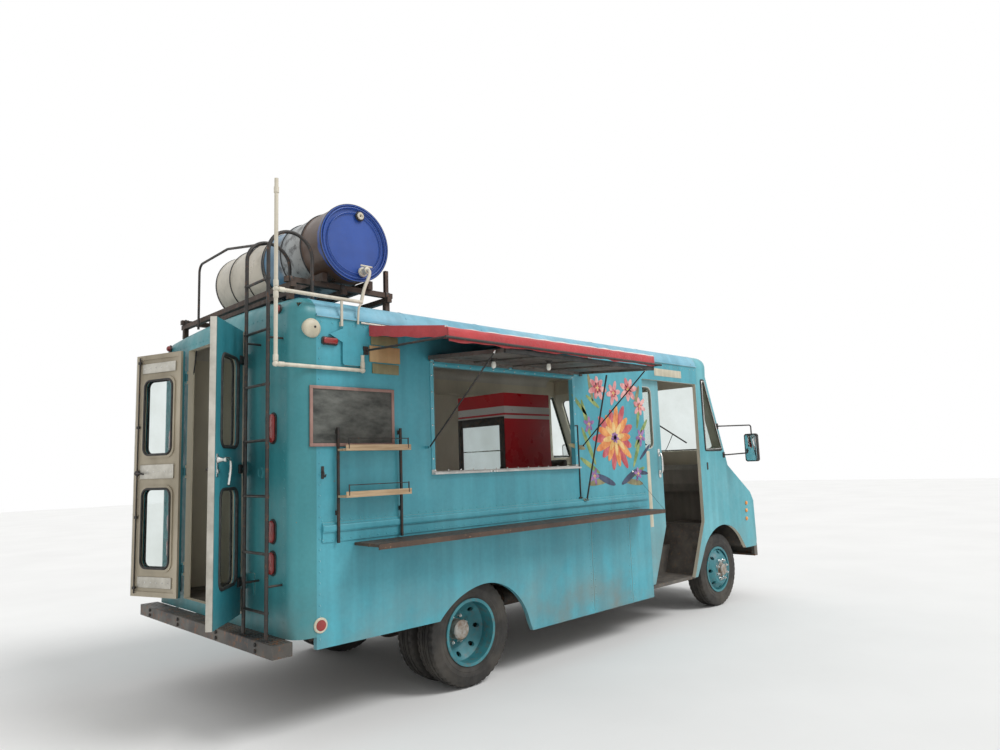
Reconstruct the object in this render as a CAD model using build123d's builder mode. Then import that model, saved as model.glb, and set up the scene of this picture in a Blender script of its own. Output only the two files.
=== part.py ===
import os
from math import cos, radians, sin, sqrt
from build123d import *

os.makedirs("parts", exist_ok=True)

# The truck stands on z = 0, its rear face is at x = 0, its front looks along +X.

# Body shell
half_w = 1200
wall = 40
drip_z = 2800
roof_r = 145
crown = 40
corner_r = 120
rear_len = 160
seam_x = 5200
fit = 0.3

# Heights of the lower edges and of the floor
skirt_z = 335
tail_z = 580
rear_z = 660
floor_z = 740
floor_t = 45

# Axles, wheels and tyres
rear_x = 1600
front_x = 5580
tyre_r = 420
tyre_w = 200
rim_r = 260
bead_r = 248
rear_out_y = 1020
rear_in_y = 765
front_y = 1010
king_y = 880

# Openings
win_x = (1185, 2895)
win_z = (1700, 2530)
pocket_x = 4060
post_x = 5165
door_top = 2600
door_low = 420
rear_half, rear_mid = 550, 60
rear_sill = 745
rear_top = 2790
pin_x = -14
strap_z = (980, 1770, 2560)

# Pivots on the right wall, as Y and Z, and the X places of their lugs
hatch_pin = (-1216, 2566)
hatch_lugs = (1160, 2035, 2910)
shelf_pin = (-1213, 1204)
shelf_lugs = (600, 1500, 2600, 3750)
stay_pin = (-1240, 1888)
stay_x = (1106, 2964)
prop_pin = (-1235, 1385)
prop_x = 2992

roof_top = drip_z + roof_r
inner_w = half_w - wall


def save(name, part):
    part.label = name
    export_step(part, "parts/" + name + ".step")


def body_section(low_z):
    """The body's cross-section down to low_z, flat in local Y and Z."""
    with BuildSketch() as section:
        with BuildLine():
            Line((-half_w, low_z), (-half_w, drip_z + 5))
            ThreePointArc((-half_w, drip_z + 5), (-half_w + 0.293 * roof_r, drip_z + 0.707 * roof_r),
                          (-half_w + roof_r, roof_top))
            ThreePointArc((-half_w + roof_r, roof_top), (0, roof_top + crown), (half_w - roof_r, roof_top))
            ThreePointArc((half_w - roof_r, roof_top), (half_w - 0.293 * roof_r, drip_z + 0.707 * roof_r),
                          (half_w, drip_z + 5))
            Line((half_w, drip_z + 5), (half_w, low_z))
            Line((half_w, low_z), (-half_w, low_z))
        make_face()
    return section.sketch


def roof_z(y):
    """Height of the crowned roof at the distance y from the middle."""
    chord = half_w - roof_r
    ball = (chord ** 2 + crown ** 2) / (2 * crown)
    return roof_top + crown - ball + sqrt(ball ** 2 - y ** 2)


# Roof: one shell with quarter-round edges and a low crown
with BuildPart() as roof:
    with BuildSketch(Plane.YZ.offset(rear_len + fit)):
        with BuildLine():
            Line((-half_w, drip_z), (-half_w, drip_z + 5))
            ThreePointArc((-half_w, drip_z + 5), (-half_w + 0.293 * roof_r, drip_z + 0.707 * roof_r),
                          (-half_w + roof_r, roof_top))
            ThreePointArc((-half_w + roof_r, roof_top), (0, roof_top + crown), (half_w - roof_r, roof_top))
            ThreePointArc((half_w - roof_r, roof_top), (half_w - 0.293 * roof_r, drip_z + 0.707 * roof_r),
                          (half_w, drip_z + 5))
            Line((half_w, drip_z + 5), (half_w, drip_z))
            Line((half_w, drip_z), (inner_w, drip_z))
            ThreePointArc((inner_w, drip_z), (half_w - 0.3 * roof_r - 22, drip_z + 0.7 * roof_r - 25),
                          (half_w - roof_r, roof_top - wall))
            ThreePointArc((half_w - roof_r, roof_top - wall), (0, roof_top + crown - wall),
                          (-half_w + roof_r, roof_top - wall))
            ThreePointArc((-half_w + roof_r, roof_top - wall),
                          (-half_w + 0.3 * roof_r + 22, drip_z + 0.7 * roof_r - 25), (-inner_w, drip_z))
            Line((-inner_w, drip_z), (-half_w, drip_z))
        make_face()
    extrude(amount=seam_x - rear_len - 2 * fit)
    # Drip rails along both sides
    with BuildSketch(Plane.YZ.offset(rear_len + fit)):
        for s in (-1, 1):
            with Locations((s * (half_w + 6), drip_z + 8)):
                Rectangle(14, 16)
    extrude(amount=seam_x - rear_len - 2 * fit)
save("roof", roof.part)

# Rear wall: rounded corner posts and a header, with the door opening cut out
with BuildPart() as rear_wall:
    with BuildSketch(Plane.YZ):
        add(body_section(rear_z))
    extrude(amount=rear_len)
    upright = rear_wall.edges().filter_by(Axis.Z).sort_by(Axis.X)[:2]
    fillet(upright, corner_r)
    with BuildSketch(Plane.YZ.offset(wall + 5)):
        with Locations((0, (rear_z - 20 + drip_z + 90) / 2)):
            Rectangle(2 * inner_w, drip_z + 90 - rear_z + 20)
    extrude(amount=rear_len, mode=Mode.SUBTRACT)
    with BuildSketch(Plane.YZ.offset(-10)):
        with Locations((rear_mid, (rear_sill + rear_top) / 2)):
            Rectangle(2 * rear_half, rear_top - rear_sill)
    extrude(amount=wall + 30, mode=Mode.SUBTRACT)
    # Hinge barrels beside the opening, two for each strap of a door
    for side in (-1, 1):
        for z in strap_z:
            for edge in (-52, 32):
                with BuildSketch(Plane.XY.offset(z + edge)):
                    with Locations((pin_x / 2, rear_mid + side * (rear_half + 12))):
                        Rectangle(-pin_x, 26)
                    with Locations((pin_x, rear_mid + side * rear_half)):
                        Circle(10)
                        Circle(5 + fit, mode=Mode.SUBTRACT)
                extrude(amount=20)
save("rear_wall", rear_wall.part)

# Side walls: the right one has the serving window, the left one a smaller window
for side in (-1, 1):
    outer = Plane.XZ.offset(-side * half_w)
    with BuildPart() as side_wall:
        with BuildSketch(outer):
            with BuildLine():
                Line((rear_len + fit, tail_z), (1205, tail_z))
                ThreePointArc((1205, tail_z), (1400, 722), (1700, 795))
                ThreePointArc((1700, 795), (2000, 690), (2190, 410))
                Line((2190, 410), (2225, skirt_z))
                Line((2225, skirt_z), (pocket_x, skirt_z))
                Line((pocket_x, skirt_z), (pocket_x, door_top))
                Line((pocket_x, door_top), (seam_x - fit, door_top))
                Line((seam_x - fit, door_top), (seam_x - fit, drip_z - fit))
                Line((seam_x - fit, drip_z - fit), (rear_len + fit, drip_z - fit))
                Line((rear_len + fit, drip_z - fit), (rear_len + fit, tail_z))
            make_face()
        extrude(amount=side * wall)
        # Belt moulding: one round rib over a flat strip
        with BuildSketch(Plane.YZ.offset(rear_len + 40)):
            with Locations((side * (half_w + 4), 1325)):
                Rectangle(10, 130)
            with Locations((side * (half_w + 9), 1350)):
                Rectangle(22, 46)
        extrude(amount=pocket_x - rear_len - 70)
        # Guide for the sliding door above the opening
        with BuildSketch(Plane.YZ.offset(2950)):
            with Locations((side * (inner_w - 25), door_top + 25)):
                Rectangle(50 + 2 * fit, 20)
        extrude(amount=2200)
        if side < 0:
            with BuildSketch(outer):
                with Locations((sum(win_x) / 2, sum(win_z) / 2)):
                    RectangleRounded(win_x[1] - win_x[0], win_z[1] - win_z[0], 20)
            extrude(amount=80, both=True, mode=Mode.SUBTRACT)
            # Lugs, each as pivot, barrel radius, pin radius, thickness and X places
            for pin, barrel, bore, thick, places in (
                    (hatch_pin, 14, 7, 30, hatch_lugs),
                    (shelf_pin, 10.5, 6, 24, shelf_lugs),
                    (stay_pin, 12, 5, 6, (stay_x[0] - 10, stay_x[1] + 10)),
                    (prop_pin, 12, 6, 6, (prop_x - 14, prop_x + 14))):
                for x in places:
                    with BuildSketch(Plane.YZ.offset(x - thick / 2)):
                        with Locations(((pin[0] - half_w) / 2, pin[1])):
                            Rectangle(-half_w - pin[0] + 4, 2 * barrel - 4)
                        with Locations(pin):
                            Circle(barrel)
                            Circle(bore + fit, mode=Mode.SUBTRACT)
                    extrude(amount=thick)
        else:
            with BuildSketch(outer):
                with Locations((2000, 2050)):
                    RectangleRounded(1000, 600, 40)
            extrude(amount=80, both=True, mode=Mode.SUBTRACT)
        # Grooves between the skirt panels
        with BuildSketch(outer):
            with Locations((3075, 790), (3690, 790)):
                Rectangle(5, 920)
        extrude(amount=side * 3, mode=Mode.SUBTRACT)
    save("side_right" if side < 0 else "side_left", side_wall.part)

# Cab front: windshield frame, cowl, nose and fenders in one shell
slope = Vector(5400 - 5765, 0, 2700 - 1740).normalized()
screen = Plane(origin=(5582.5, 0, 2220), x_dir=(0, 1, 0), z_dir=(slope.Z, 0, -slope.X))
lid_dir = Vector(6330 - 5800, 0, 1290 - 1640).normalized()
bonnet = Plane(origin=(6065, 0, 1465), x_dir=(0, 1, 0), z_dir=(-lid_dir.Z, 0, lid_dir.X))
lid_w, lid_l = 1180, 520
hood_rod = (lid_l / 2 - 7, 8)
with BuildPart() as cab_front:
    with BuildSketch(Plane.XZ.offset(-half_w)):
        with BuildLine():
            Polyline((post_x, door_top - fit), (post_x, 1015), (4885, door_low), (4945, door_low), (5150, 735))
            ThreePointArc((5150, 735), (5590, 941), (6000, 770))
            Polyline((6000, 770), (6120, 620), (6395, 620), (6412, 700), (6400, 1180), (6330, 1290),
                     (5800, 1640), (5765, 1740), (5400, 2700), (5412, 2880), (5380, 3000),
                     (seam_x + fit, 3000), (seam_x + fit, door_top - fit), (post_x, door_top - fit))
        make_face()
    extrude(amount=2 * half_w)
    with BuildSketch(Plane.YZ.offset(4800)):
        add(body_section(300))
    extrude(amount=1700, mode=Mode.INTERSECT)
    with BuildSketch(Plane.XZ.offset(-inner_w)):
        with BuildLine():
            Polyline((4800, 300), (6352, 300), (6372, 700), (6360, 1168), (6302, 1260), (5768, 1612),
                     (5727, 1726), (5358, 2696), (5370, 2880), (5150, 2895), (4800, 2895), (4800, 300))
        make_face()
    extrude(amount=2 * inner_w, mode=Mode.SUBTRACT)
    # Two windshield panes
    with BuildSketch(screen):
        with Locations((-552, 10), (552, 10)):
            RectangleRounded(1040, 820, 70)
    extrude(amount=70, both=True, mode=Mode.SUBTRACT)
    # Quarter windows on both sides
    with BuildSketch(Plane.XZ):
        with BuildLine():
            Polyline((5270, 2668), (5362, 2668), (5706, 1812), (5284, 1812), (5270, 2668))
        make_face()
        fillet(vertices(), 36)
    extrude(amount=half_w + 50, both=True, mode=Mode.SUBTRACT)
    # Hood and grille openings
    with BuildSketch(bonnet):
        Rectangle(lid_w, lid_l)
    extrude(amount=60, both=True, mode=Mode.SUBTRACT)
    with BuildSketch(Plane.YZ.offset(6300)):
        with Locations((0, 955)):
            RectangleRounded(1000, 330, 30)
        with Locations((-800, 1010), (800, 1010)):
            Circle(105)
    extrude(amount=200, mode=Mode.SUBTRACT)
    # Lugs for the hood's rod
    with BuildSketch(bonnet):
        with Locations((-604, hood_rod[0]), (604, hood_rod[0])):
            Rectangle(16, 28)
    extrude(amount=hood_rod[1] + 10)
    with BuildSketch(Plane(bonnet.from_local_coords(Vector(0, hood_rod[0], hood_rod[1])),
                           x_dir=(1, 0, 0), z_dir=(0, 1, 0))):
        Circle(6 + fit)
    extrude(amount=640, both=True, mode=Mode.SUBTRACT)
save("cab_front", cab_front.part)

# Glass: windshield, quarter windows and the left wall's window
with BuildPart() as cab_glass:
    with BuildSketch(screen.offset(-23)):
        with Locations((-552, 10), (552, 10)):
            RectangleRounded(1040 - 2 * fit, 820 - 2 * fit, 70 - fit)
    extrude(amount=6)
    for side in (-1, 1):
        with BuildSketch(Plane.XZ.offset(-side * (half_w - 17))):
            with BuildLine():
                Polyline((5270, 2668), (5362, 2668), (5706, 1812), (5284, 1812), (5270, 2668))
            make_face()
            fillet(vertices(), 36)
            offset(amount=-fit, kind=Kind.INTERSECTION, mode=Mode.REPLACE)
        extrude(amount=side * 6)
    with BuildSketch(Plane.XZ.offset(-half_w + 17)):
        with Locations((2000, 2050)):
            RectangleRounded(1000 - 2 * fit, 600 - 2 * fit, 40 - fit)
    extrude(amount=6)
save("cab_glass", cab_glass.part)

# Grille with nine slots, and two headlamp bowls
with BuildPart() as grille:
    with BuildSketch(Plane.YZ.offset(6374)):
        with Locations((0, 955)):
            RectangleRounded(1000 - 2 * fit, 330 - 2 * fit, 30 - fit)
            with GridLocations(0, 34, 1, 9):
                Rectangle(940, 16, mode=Mode.SUBTRACT)
    extrude(amount=20)
    with BuildSketch(Plane.YZ.offset(6340)):
        with Locations((-800, 1010), (800, 1010)):
            Circle(105 - fit)
    extrude(amount=75)
    with BuildSketch(Plane.YZ.offset(6385)):
        with Locations((-800, 1010), (800, 1010)):
            Circle(88)
    extrude(amount=60, mode=Mode.SUBTRACT)
save("grille", grille.part)

# Hood lid, hinged at the cowl on a rod along its upper edge
with BuildPart() as hood:
    with BuildSketch(bonnet):
        with Locations((0, -2)):
            Rectangle(lid_w - 12, lid_l - 16)
    extrude(amount=-22)
    with BuildSketch(bonnet.offset(-10)):
        with Locations((0, hood_rod[0] - 7)):
            Rectangle(lid_w - 60, 18)
    extrude(amount=10 + hood_rod[1])
    with BuildSketch(Plane(bonnet.from_local_coords(Vector(0, hood_rod[0], hood_rod[1])),
                           x_dir=(1, 0, 0), z_dir=(0, 1, 0))):
        Circle(6)
    extrude(amount=lid_w / 2 + 21, both=True)
save("hood", hood.part)

# Floor: deck, wheel boxes, steps and rails for the sliding doors
box_in, box_out = 640, inner_w - fit
rear_box = (1125, 2080, 905)
with BuildPart() as floor:
    # Deck pieces, each as two X places and the half width
    with BuildSketch(Plane.XY.offset(floor_z - floor_t)):
        for x0, x1, half in ((60, 2940, box_out), (2900, pocket_x, 1090), (4000, 5072, 780), (5000, 5180, 650)):
            with Locations(((x0 + x1) / 2, 0)):
                Rectangle(x1 - x0, 2 * half)
        for side in (-1, 1):
            with Locations((5380, side * 490)):
                Rectangle(640, 320)
            with Locations(((rear_box[0] + rear_box[1]) / 2, side * 940)):
                Rectangle(rear_box[1] - rear_box[0], 600, mode=Mode.SUBTRACT)
    extrude(amount=floor_t)
    for side in (-1, 1):
        # Box over the twin tyres
        with BuildSketch(Plane.XY.offset(floor_z - floor_t)):
            with Locations(((rear_box[0] + rear_box[1]) / 2, side * (box_in + box_out - 20) / 2)):
                Rectangle(rear_box[1] - rear_box[0] + 40, box_out - box_in + 20)
            with Locations(((rear_box[0] + rear_box[1]) / 2, side * 940)):
                Rectangle(rear_box[1] - rear_box[0], 600, mode=Mode.SUBTRACT)
        extrude(amount=rear_box[2] - floor_z + floor_t)
        with BuildSketch(Plane.XY.offset(rear_box[2] - 15)):
            with Locations(((rear_box[0] + rear_box[1]) / 2, side * (box_in + box_out - 20) / 2)):
                Rectangle(rear_box[1] - rear_box[0] + 20, box_out - box_in + 20)
        extrude(amount=15)
        # Box over the steered tyre, its rear face slanted along the door
        with BuildSketch(Plane.XZ.offset(-side * box_in)):
            Polygon((4930, 400), (5186, 978), (6074, 978), (6074, 640), (6059, 640), (6059, 963),
                    (5196, 963), (4946, 400), align=None)
        extrude(amount=-side * (box_out - box_in))
        with BuildSketch(Plane.XZ.offset(-side * box_in)):
            Polygon((5070, 695), (5186, 970), (6070, 970), (6070, 640), (5280, 640), align=None)
        extrude(amount=-side * 15)
        # Step, door rail and their risers, each as X places and distances from the middle
        with BuildSketch(Plane.XY.offset(400)):
            for x0, x1, y0, y1 in ((pocket_x, 4952, 770, box_out), (2950, pocket_x + 5, 1075, box_out)):
                with Locations(((x0 + x1) / 2, side * (y0 + y1) / 2)):
                    Rectangle(x1 - x0, y1 - y0)
        extrude(amount=34)
        with BuildSketch(Plane.XY.offset(400)):
            for x0, x1, y0, y1 in ((2950, pocket_x, 1075, 1090), (pocket_x - 15, pocket_x, 765, 1090)):
                with Locations(((x0 + x1) / 2, side * (y0 + y1) / 2)):
                    Rectangle(x1 - x0, y1 - y0)
        extrude(amount=floor_z - 400)
        with BuildSketch(Plane.XZ.offset(-side * 765)):
            Polygon((pocket_x - 5, 400), (4936, 400), (5087, floor_z), (pocket_x - 5, floor_z), align=None)
        extrude(amount=-side * 15)
save("floor", floor.part)

# Frame, engine block, tank, axles, springs and shaft
rail_y = 400
frame_low, frame_top = 500, 660
with BuildPart() as chassis:
    with BuildSketch(Plane.YZ.offset(120)):
        for side in (-1, 1):
            with Locations((side * rail_y, (frame_low + frame_top) / 2)):
                Rectangle(60, frame_top - frame_low)
    extrude(amount=6300 - 120)
    for x in (150, 930, 2430, 3530, 4630, 5500, 5960, 6270):
        with Locations((x, 0, frame_low + 50)):
            Box(60, 2 * rail_y, 90)
    # Body mounts under the floor
    for x in (300, 1000, 2200, 3000, 3900, 4800):
        for side in (-1, 1):
            with Locations((x, side * rail_y, (frame_top + floor_z - floor_t - fit) / 2)):
                Box(120, 60, floor_z - floor_t - frame_top - fit)
    # Bumper arms in front and behind
    for side in (-1, 1):
        with Locations((6355, side * rail_y, 560)):
            Box(150, 50, 90)
        with Locations((9.3, side * rail_y, 606.2)):
            Box(252, 50, 83)
    # Front axle beam with eyes for the kingpins
    with Locations((front_x, 0, 330)):
        Box(90, 1400, 80)
    for side in (-1, 1):
        with Locations((front_x, side * 740, 400)):
            Box(90, 80, 220)
        with Locations((front_x, side * 815, tyre_r)):
            Box(60, 110, 60)
        with Locations((front_x, side * king_y, tyre_r)):
            Cylinder(36, 90)
            Cylinder(16 + fit, 90, mode=Mode.SUBTRACT)
    # Rear axle with its bowl
    with Locations((rear_x, 0, tyre_r)):
        Cylinder(60, 1200, rotation=(90, 0, 0))
        Cylinder(42, 1900, rotation=(90, 0, 0))
        Sphere(190)
    # Springs, each as axle place, height and half length
    for x, z, half in ((front_x, 400, 560), (rear_x, 520, 620)):
        for side in (-1, 1):
            with Locations((x, side * 520, z)):
                Box(2 * half, 70, 40)
            with Locations((x, side * 520, z - 30)):
                Box(140, 90, 90)
            for end in (-1, 1):
                with Locations((x + end * (half - 30), side * 470, z + 50)):
                    Box(60, 170, 140)
    # Engine block, gearbox and propeller shaft
    with Locations((5650, 0, 820)):
        Box(900, 560, 560)
    with Locations((5020, 0, 560)):
        Box(380, 300, 230)
    shaft = Vector(4840 - rear_x, 0, 560 - tyre_r)
    with BuildSketch(Plane(origin=(rear_x, 0, tyre_r), z_dir=shaft)):
        Circle(40)
    extrude(amount=shaft.length)
    # Fuel tank on the left, silencer with its pipe on the right
    with Locations((3300, 680, 520)):
        Box(900, 380, 300)
    with Locations((2700, -600, 520)):
        Cylinder(85, 600, rotation=(0, 90, 0))
    with Locations((1450, -600, 520)):
        Cylinder(28, 2000, rotation=(0, 90, 0))
    for x, y in ((2980, 475), (3600, 475), (2500, -475), (2900, -475)):
        with Locations((x, y, 560)):
            Box(40, 110, 60)
save("chassis", chassis.part)

# Bumpers: a pressed bar in front, a step bar behind
with BuildPart() as bumpers:
    with Locations((6470, 0, 560)):
        Box(80 - fit, 2300, 150)
    with Locations((6430, 0, 560)):
        Box(120, 2220, 110, mode=Mode.SUBTRACT)
    with Locations((6460 + fit / 2, 400, 560), (6460 + fit / 2, -400, 560)):
        Box(60 - fit, 60, 90)
    with Locations((-72, 0, 615)):
        Box(140, 2360, 86)
    with Locations((-52, 0, 605)):
        Box(130, 2300, 86, mode=Mode.SUBTRACT)
save("bumpers", bumpers.part)

# Window frame: flange outside, lining through the wall and a sill
win_mid = (sum(win_x) / 2, sum(win_z) / 2)
win_w, win_h = win_x[1] - win_x[0], win_z[1] - win_z[0]
with BuildPart() as window_frame:
    with BuildSketch(Plane.XZ.offset(half_w + fit)):
        with Locations(win_mid):
            Rectangle(win_w + 60, win_h + 36)
            Rectangle(win_w - 8, win_h - 8, mode=Mode.SUBTRACT)
    extrude(amount=5)
    with BuildSketch(Plane.XZ.offset(inner_w - 4)):
        with Locations(win_mid):
            RectangleRounded(win_w - 2 * fit, win_h - 2 * fit, 20 - fit)
            Rectangle(win_w - 8, win_h - 8, mode=Mode.SUBTRACT)
    extrude(amount=wall + 8)
    with Locations((win_mid[0], -half_w - fit - 22, win_z[0] - 13)):
        Box(win_w + 60, 44, 15)
save("window_frame", window_frame.part)

# Serving hatch, raised: local x looks back along the truck, local y out along the panel
hatch_rest = radians(86)
hatch_plane = Plane(origin=(0, hatch_pin[0], hatch_pin[1]), x_dir=(-1, 0, 0),
                    z_dir=(0, -cos(hatch_rest), sin(hatch_rest)))
hatch_x, hatch_len = (1120, 2950), 865
with BuildPart() as serving_hatch:
    with BuildSketch(hatch_plane.offset(2)):
        with Locations((-sum(hatch_x) / 2, (10 + hatch_len) / 2)):
            Rectangle(hatch_x[1] - hatch_x[0], hatch_len - 10)
        for x in hatch_lugs:
            with Locations((-x, 11)):
                Rectangle(42, 24, mode=Mode.SUBTRACT)
    extrude(amount=30)
    # Underside tray: a rim stands around the sheet
    with BuildSketch(hatch_plane.offset(2)):
        with Locations((-sum(hatch_x) / 2, 447)):
            Rectangle(hatch_x[1] - hatch_x[0] - 60, hatch_len - 80)
    extrude(amount=18, mode=Mode.SUBTRACT)
    for x0, x1 in ((1185, 2010), (2060, 2885)):
        with BuildSketch(hatch_plane.offset(-5)):
            with Locations((-(x0 + x1) / 2, 8)):
                Rectangle(x1 - x0, 14)
        extrude(amount=20)
    with BuildSketch(Plane.YZ.offset(hatch_lugs[0] - 15)):
        with Locations(hatch_pin):
            Circle(7)
    extrude(amount=hatch_lugs[2] - hatch_lugs[0] + 30)
save("serving_hatch", serving_hatch.part)

# Stays and prop: rods that lean out from the wall, each turning on a cross pin
rods = (("stay_rear", stay_x[0], stay_pin, 49.5, 985, 6, 5, -13, 0),
        ("stay_front", stay_x[1], stay_pin, 49.5, 985, 6, 5, 0, 13),
        ("hatch_prop", prop_x, prop_pin, 14.8, 1186, 8, 6, -17, 17))
for name, x, pin, lean, length, radius, pin_r, x0, x1 in rods:
    with BuildPart() as rod:
        with BuildSketch(Plane(origin=(x, pin[0], pin[1]),
                               z_dir=(0, -sin(radians(lean)), cos(radians(lean))))):
            Circle(radius)
        extrude(amount=length)
        with BuildSketch(Plane.YZ.offset(x + x0)):
            with Locations(pin):
                Circle(pin_r)
        extrude(amount=x1 - x0)
    save(name, rod.part)

# Awning cloth: a sloping sheet on a batten, with a valance along its outer edge
eave = (-2088, 2641)
drop = Vector(0, eave[0] + 1206, eave[1] - 2784)
cloth_plane = Plane(origin=(0, -1206, 2784), x_dir=(1, 0, 0), z_dir=Vector(1, 0, 0).cross(drop))
with BuildPart() as awning:
    with BuildSketch(cloth_plane):
        Polygon((580, 0), (3200, 0), (2945, drop.length), (580, drop.length), align=None)
    extrude(amount=-8)
    with Locations((1850, -1206, 2783)):
        Box(2700, 12 - 2 * fit, 26)
    with Locations(((580 + 2945) / 2, -2092, 2595)):
        Box(2365, 8, 100)
    # Short side flap at the rear end
    with BuildSketch(Plane.YZ.offset(580)):
        Polygon((-1212, 2775), (-2090, 2638), (-2090, 2545), (-1212, 2700), align=None)
    extrude(amount=8)
save("awning", awning.part)

# Awning frame: two arms from the wall and a bar along the valance
bar = (-2105.3, 2556)
with BuildPart() as awning_frame:
    with BuildSketch(Plane.YZ.offset(551)):
        with Locations(bar):
            Circle(9)
    extrude(amount=3029 - 551)
    for x in (560, 3020):
        arm = Vector(0, bar[0] + 1209, bar[1] - 2590)
        with BuildSketch(Plane(origin=(x, -1209, 2590), z_dir=arm)):
            Circle(8)
        extrude(amount=arm.length)
        with Locations((x, -1206 - fit, 2590)):
            Box(40, 12, 60)
save("awning_frame", awning_frame.part)

# Service shelf along the right side, folding down on a rod
with BuildPart() as service_shelf:
    with Locations((2175, -1353.5, 1230)):
        Box(3450, 293, 20)
    with Locations((2175, -1496, 1222)):
        Box(3450, 8, 36)
    for x0, x1 in ((640, 1460), (1540, 2560), (2640, 3710)):
        with Locations(((x0 + x1) / 2, shelf_pin[0], 1214)):
            Box(x1 - x0, 11, 20)
    with BuildSketch(Plane.YZ.offset(560)):
        with Locations(shelf_pin):
            Circle(6)
    extrude(amount=3230)
save("service_shelf", service_shelf.part)

# Two small shelves between a pair of uprights
with BuildPart() as side_shelves:
    for x in (310, 840):
        with Locations((x, -1229, 1640)):
            Box(16, 16, 780)
        for z in (1450, 2000):
            with Locations((x, -1211, z)):
                Box(16, 22 - 2 * fit, 30)
    for z in (1552, 1867):
        with Locations((575, -1285, z + 7.5)):
            Box(546, 120, 15)
        with Locations((575, -1342, z + 20)):
            Box(546, 6, 40)
save("side_shelves", side_shelves.part)

# Rear doors stand open, each swung out by its own angle; local x runs along the panel
door_u = (6, 545)
door_z = (751, 2784)
panes = ((985, 1633), (1925, 2555))
pane_u = (105, 435)
for side, name, swing in ((-1, "rear_door_right", 137), (1, "rear_door_left", -160)):
    turn = radians(swing)
    leaf = Plane(origin=(pin_x, rear_mid + side * rear_half, 0), x_dir=(-sin(turn), cos(turn), 0),
                 z_dir=(cos(turn), sin(turn), 0))
    mid_u, width = -side * sum(door_u) / 2, door_u[1] - door_u[0]
    pane_mid, pane_w = -side * sum(pane_u) / 2, pane_u[1] - pane_u[0]
    with BuildPart() as door:
        with BuildSketch(leaf.offset(14)):
            with Locations((mid_u, sum(door_z) / 2)):
                Rectangle(width, door_z[1] - door_z[0])
        extrude(amount=wall)
        # Inner face sunk between its border and the pane frames
        with BuildSketch(leaf.offset(44)):
            with Locations((mid_u, sum(door_z) / 2)):
                Rectangle(width - 70, door_z[1] - door_z[0] - 80)
            for z0, z1 in panes:
                with Locations((pane_mid, (z0 + z1) / 2)):
                    RectangleRounded(pane_w + 60, z1 - z0 + 60, 80, mode=Mode.SUBTRACT)
        extrude(amount=20, mode=Mode.SUBTRACT)
        with BuildSketch(leaf):
            for z0, z1 in panes:
                with Locations((pane_mid, (z0 + z1) / 2)):
                    RectangleRounded(pane_w, z1 - z0, 60)
        extrude(amount=80, mode=Mode.SUBTRACT)
        # Straps with the hinge pins
        for z in strap_z:
            with BuildSketch(leaf.offset(2)):
                with Locations((-side * 40, z)):
                    Rectangle(80, 60)
            extrude(amount=12 + fit)
            with BuildSketch(Plane.XY.offset(z - 50)):
                with Locations((pin_x, rear_mid + side * rear_half)):
                    Circle(5)
            extrude(amount=100)
    save(name, door.part)
    with BuildPart() as glass:
        with BuildSketch(leaf.offset(31)):
            for z0, z1 in panes:
                with Locations((pane_mid, (z0 + z1) / 2)):
                    RectangleRounded(pane_w - 2 * fit, z1 - z0 - 2 * fit, 60 - fit)
        extrude(amount=6)
    save(name.replace("door", "glass"), glass.part)

# Sliding cab doors: the right one stands open, the left one is shut
slide_y, slide_t = 1117, 35
for side, name, shift in ((-1, "cab_door_right", -735), (1, "cab_door_left", 0)):
    leaf = Plane.XZ.offset(-side * slide_y)
    with BuildPart() as door:
        with BuildSketch(leaf):
            with Locations((shift, 0)):
                Polygon((4030, 440), (4911, 440), (5170, 1015), (5170, 2606), (4030, 2606), align=None)
            with Locations((shift + 4610, 2190)):
                RectangleRounded(830, 660, 70, mode=Mode.SUBTRACT)
        extrude(amount=-side * slide_t)
        # Shoes above the rail and below the guide, as X place, bottom and height
        for x, z, tall in ((4130, 434 + fit, 8), (4800, 434 + fit, 8), (4130, 2603, 12 - fit),
                           (5050, 2603, 12 - fit)):
            with Locations((x + shift, side * (slide_y + slide_t / 2), z + tall / 2)):
                Box(100, 25, tall)
    save(name, door.part)
    with BuildPart() as glass:
        with BuildSketch(Plane.XZ.offset(-side * (slide_y + 15))):
            with Locations((shift + 4610, 2190)):
                RectangleRounded(830 - 2 * fit, 660 - 2 * fit, 70 - fit)
        extrude(amount=-side * 5)
    save(name.replace("door", "glass"), glass.part)

# Ladder with hoops over the roof edge, and a guard tube to its left
ladder_x, ladder_y = -110, (-1035, -710)
with BuildPart() as ladder:
    for y in ladder_y:
        with BuildLine() as rail:
            Line((ladder_x, y, 658 + fit), (ladder_x, y, 3250))
            ThreePointArc((ladder_x, y, 3250), (57.5, y, 3417.5), (225, y, 3250))
            Line((225, y, 3250), (225, y, roof_z(y) + 1.4))
        with BuildSketch(Plane.XY.offset(658 + fit)):
            with Locations((ladder_x, y)):
                Circle(13)
        sweep(path=rail.wires()[0])
        for z in (1000, 2650):
            with Locations((ladder_x / 2 - fit / 2, y, z)):
                Cylinder(8, -ladder_x - fit, rotation=(0, 90, 0))
    for z in (833, 1208, 1583, 1953, 2331, 2706, 3060):
        with Locations((ladder_x, sum(ladder_y) / 2, z)):
            Cylinder(10, 325, rotation=(90, 0, 0))
    with BuildLine() as guard:
        FilletPolyline((57.5, -712, 3417.5), (57.5, 0, 3548), (57.5, 560, 3540), (57.5, 560, roof_z(560) + 1.4),
                       radius=70)
    with BuildSketch(Plane(origin=(57.5, -712, 3417.5), z_dir=(0, 712, 130.5))):
        Circle(10)
    sweep(path=guard.wires()[0])
save("ladder", ladder.part)

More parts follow.
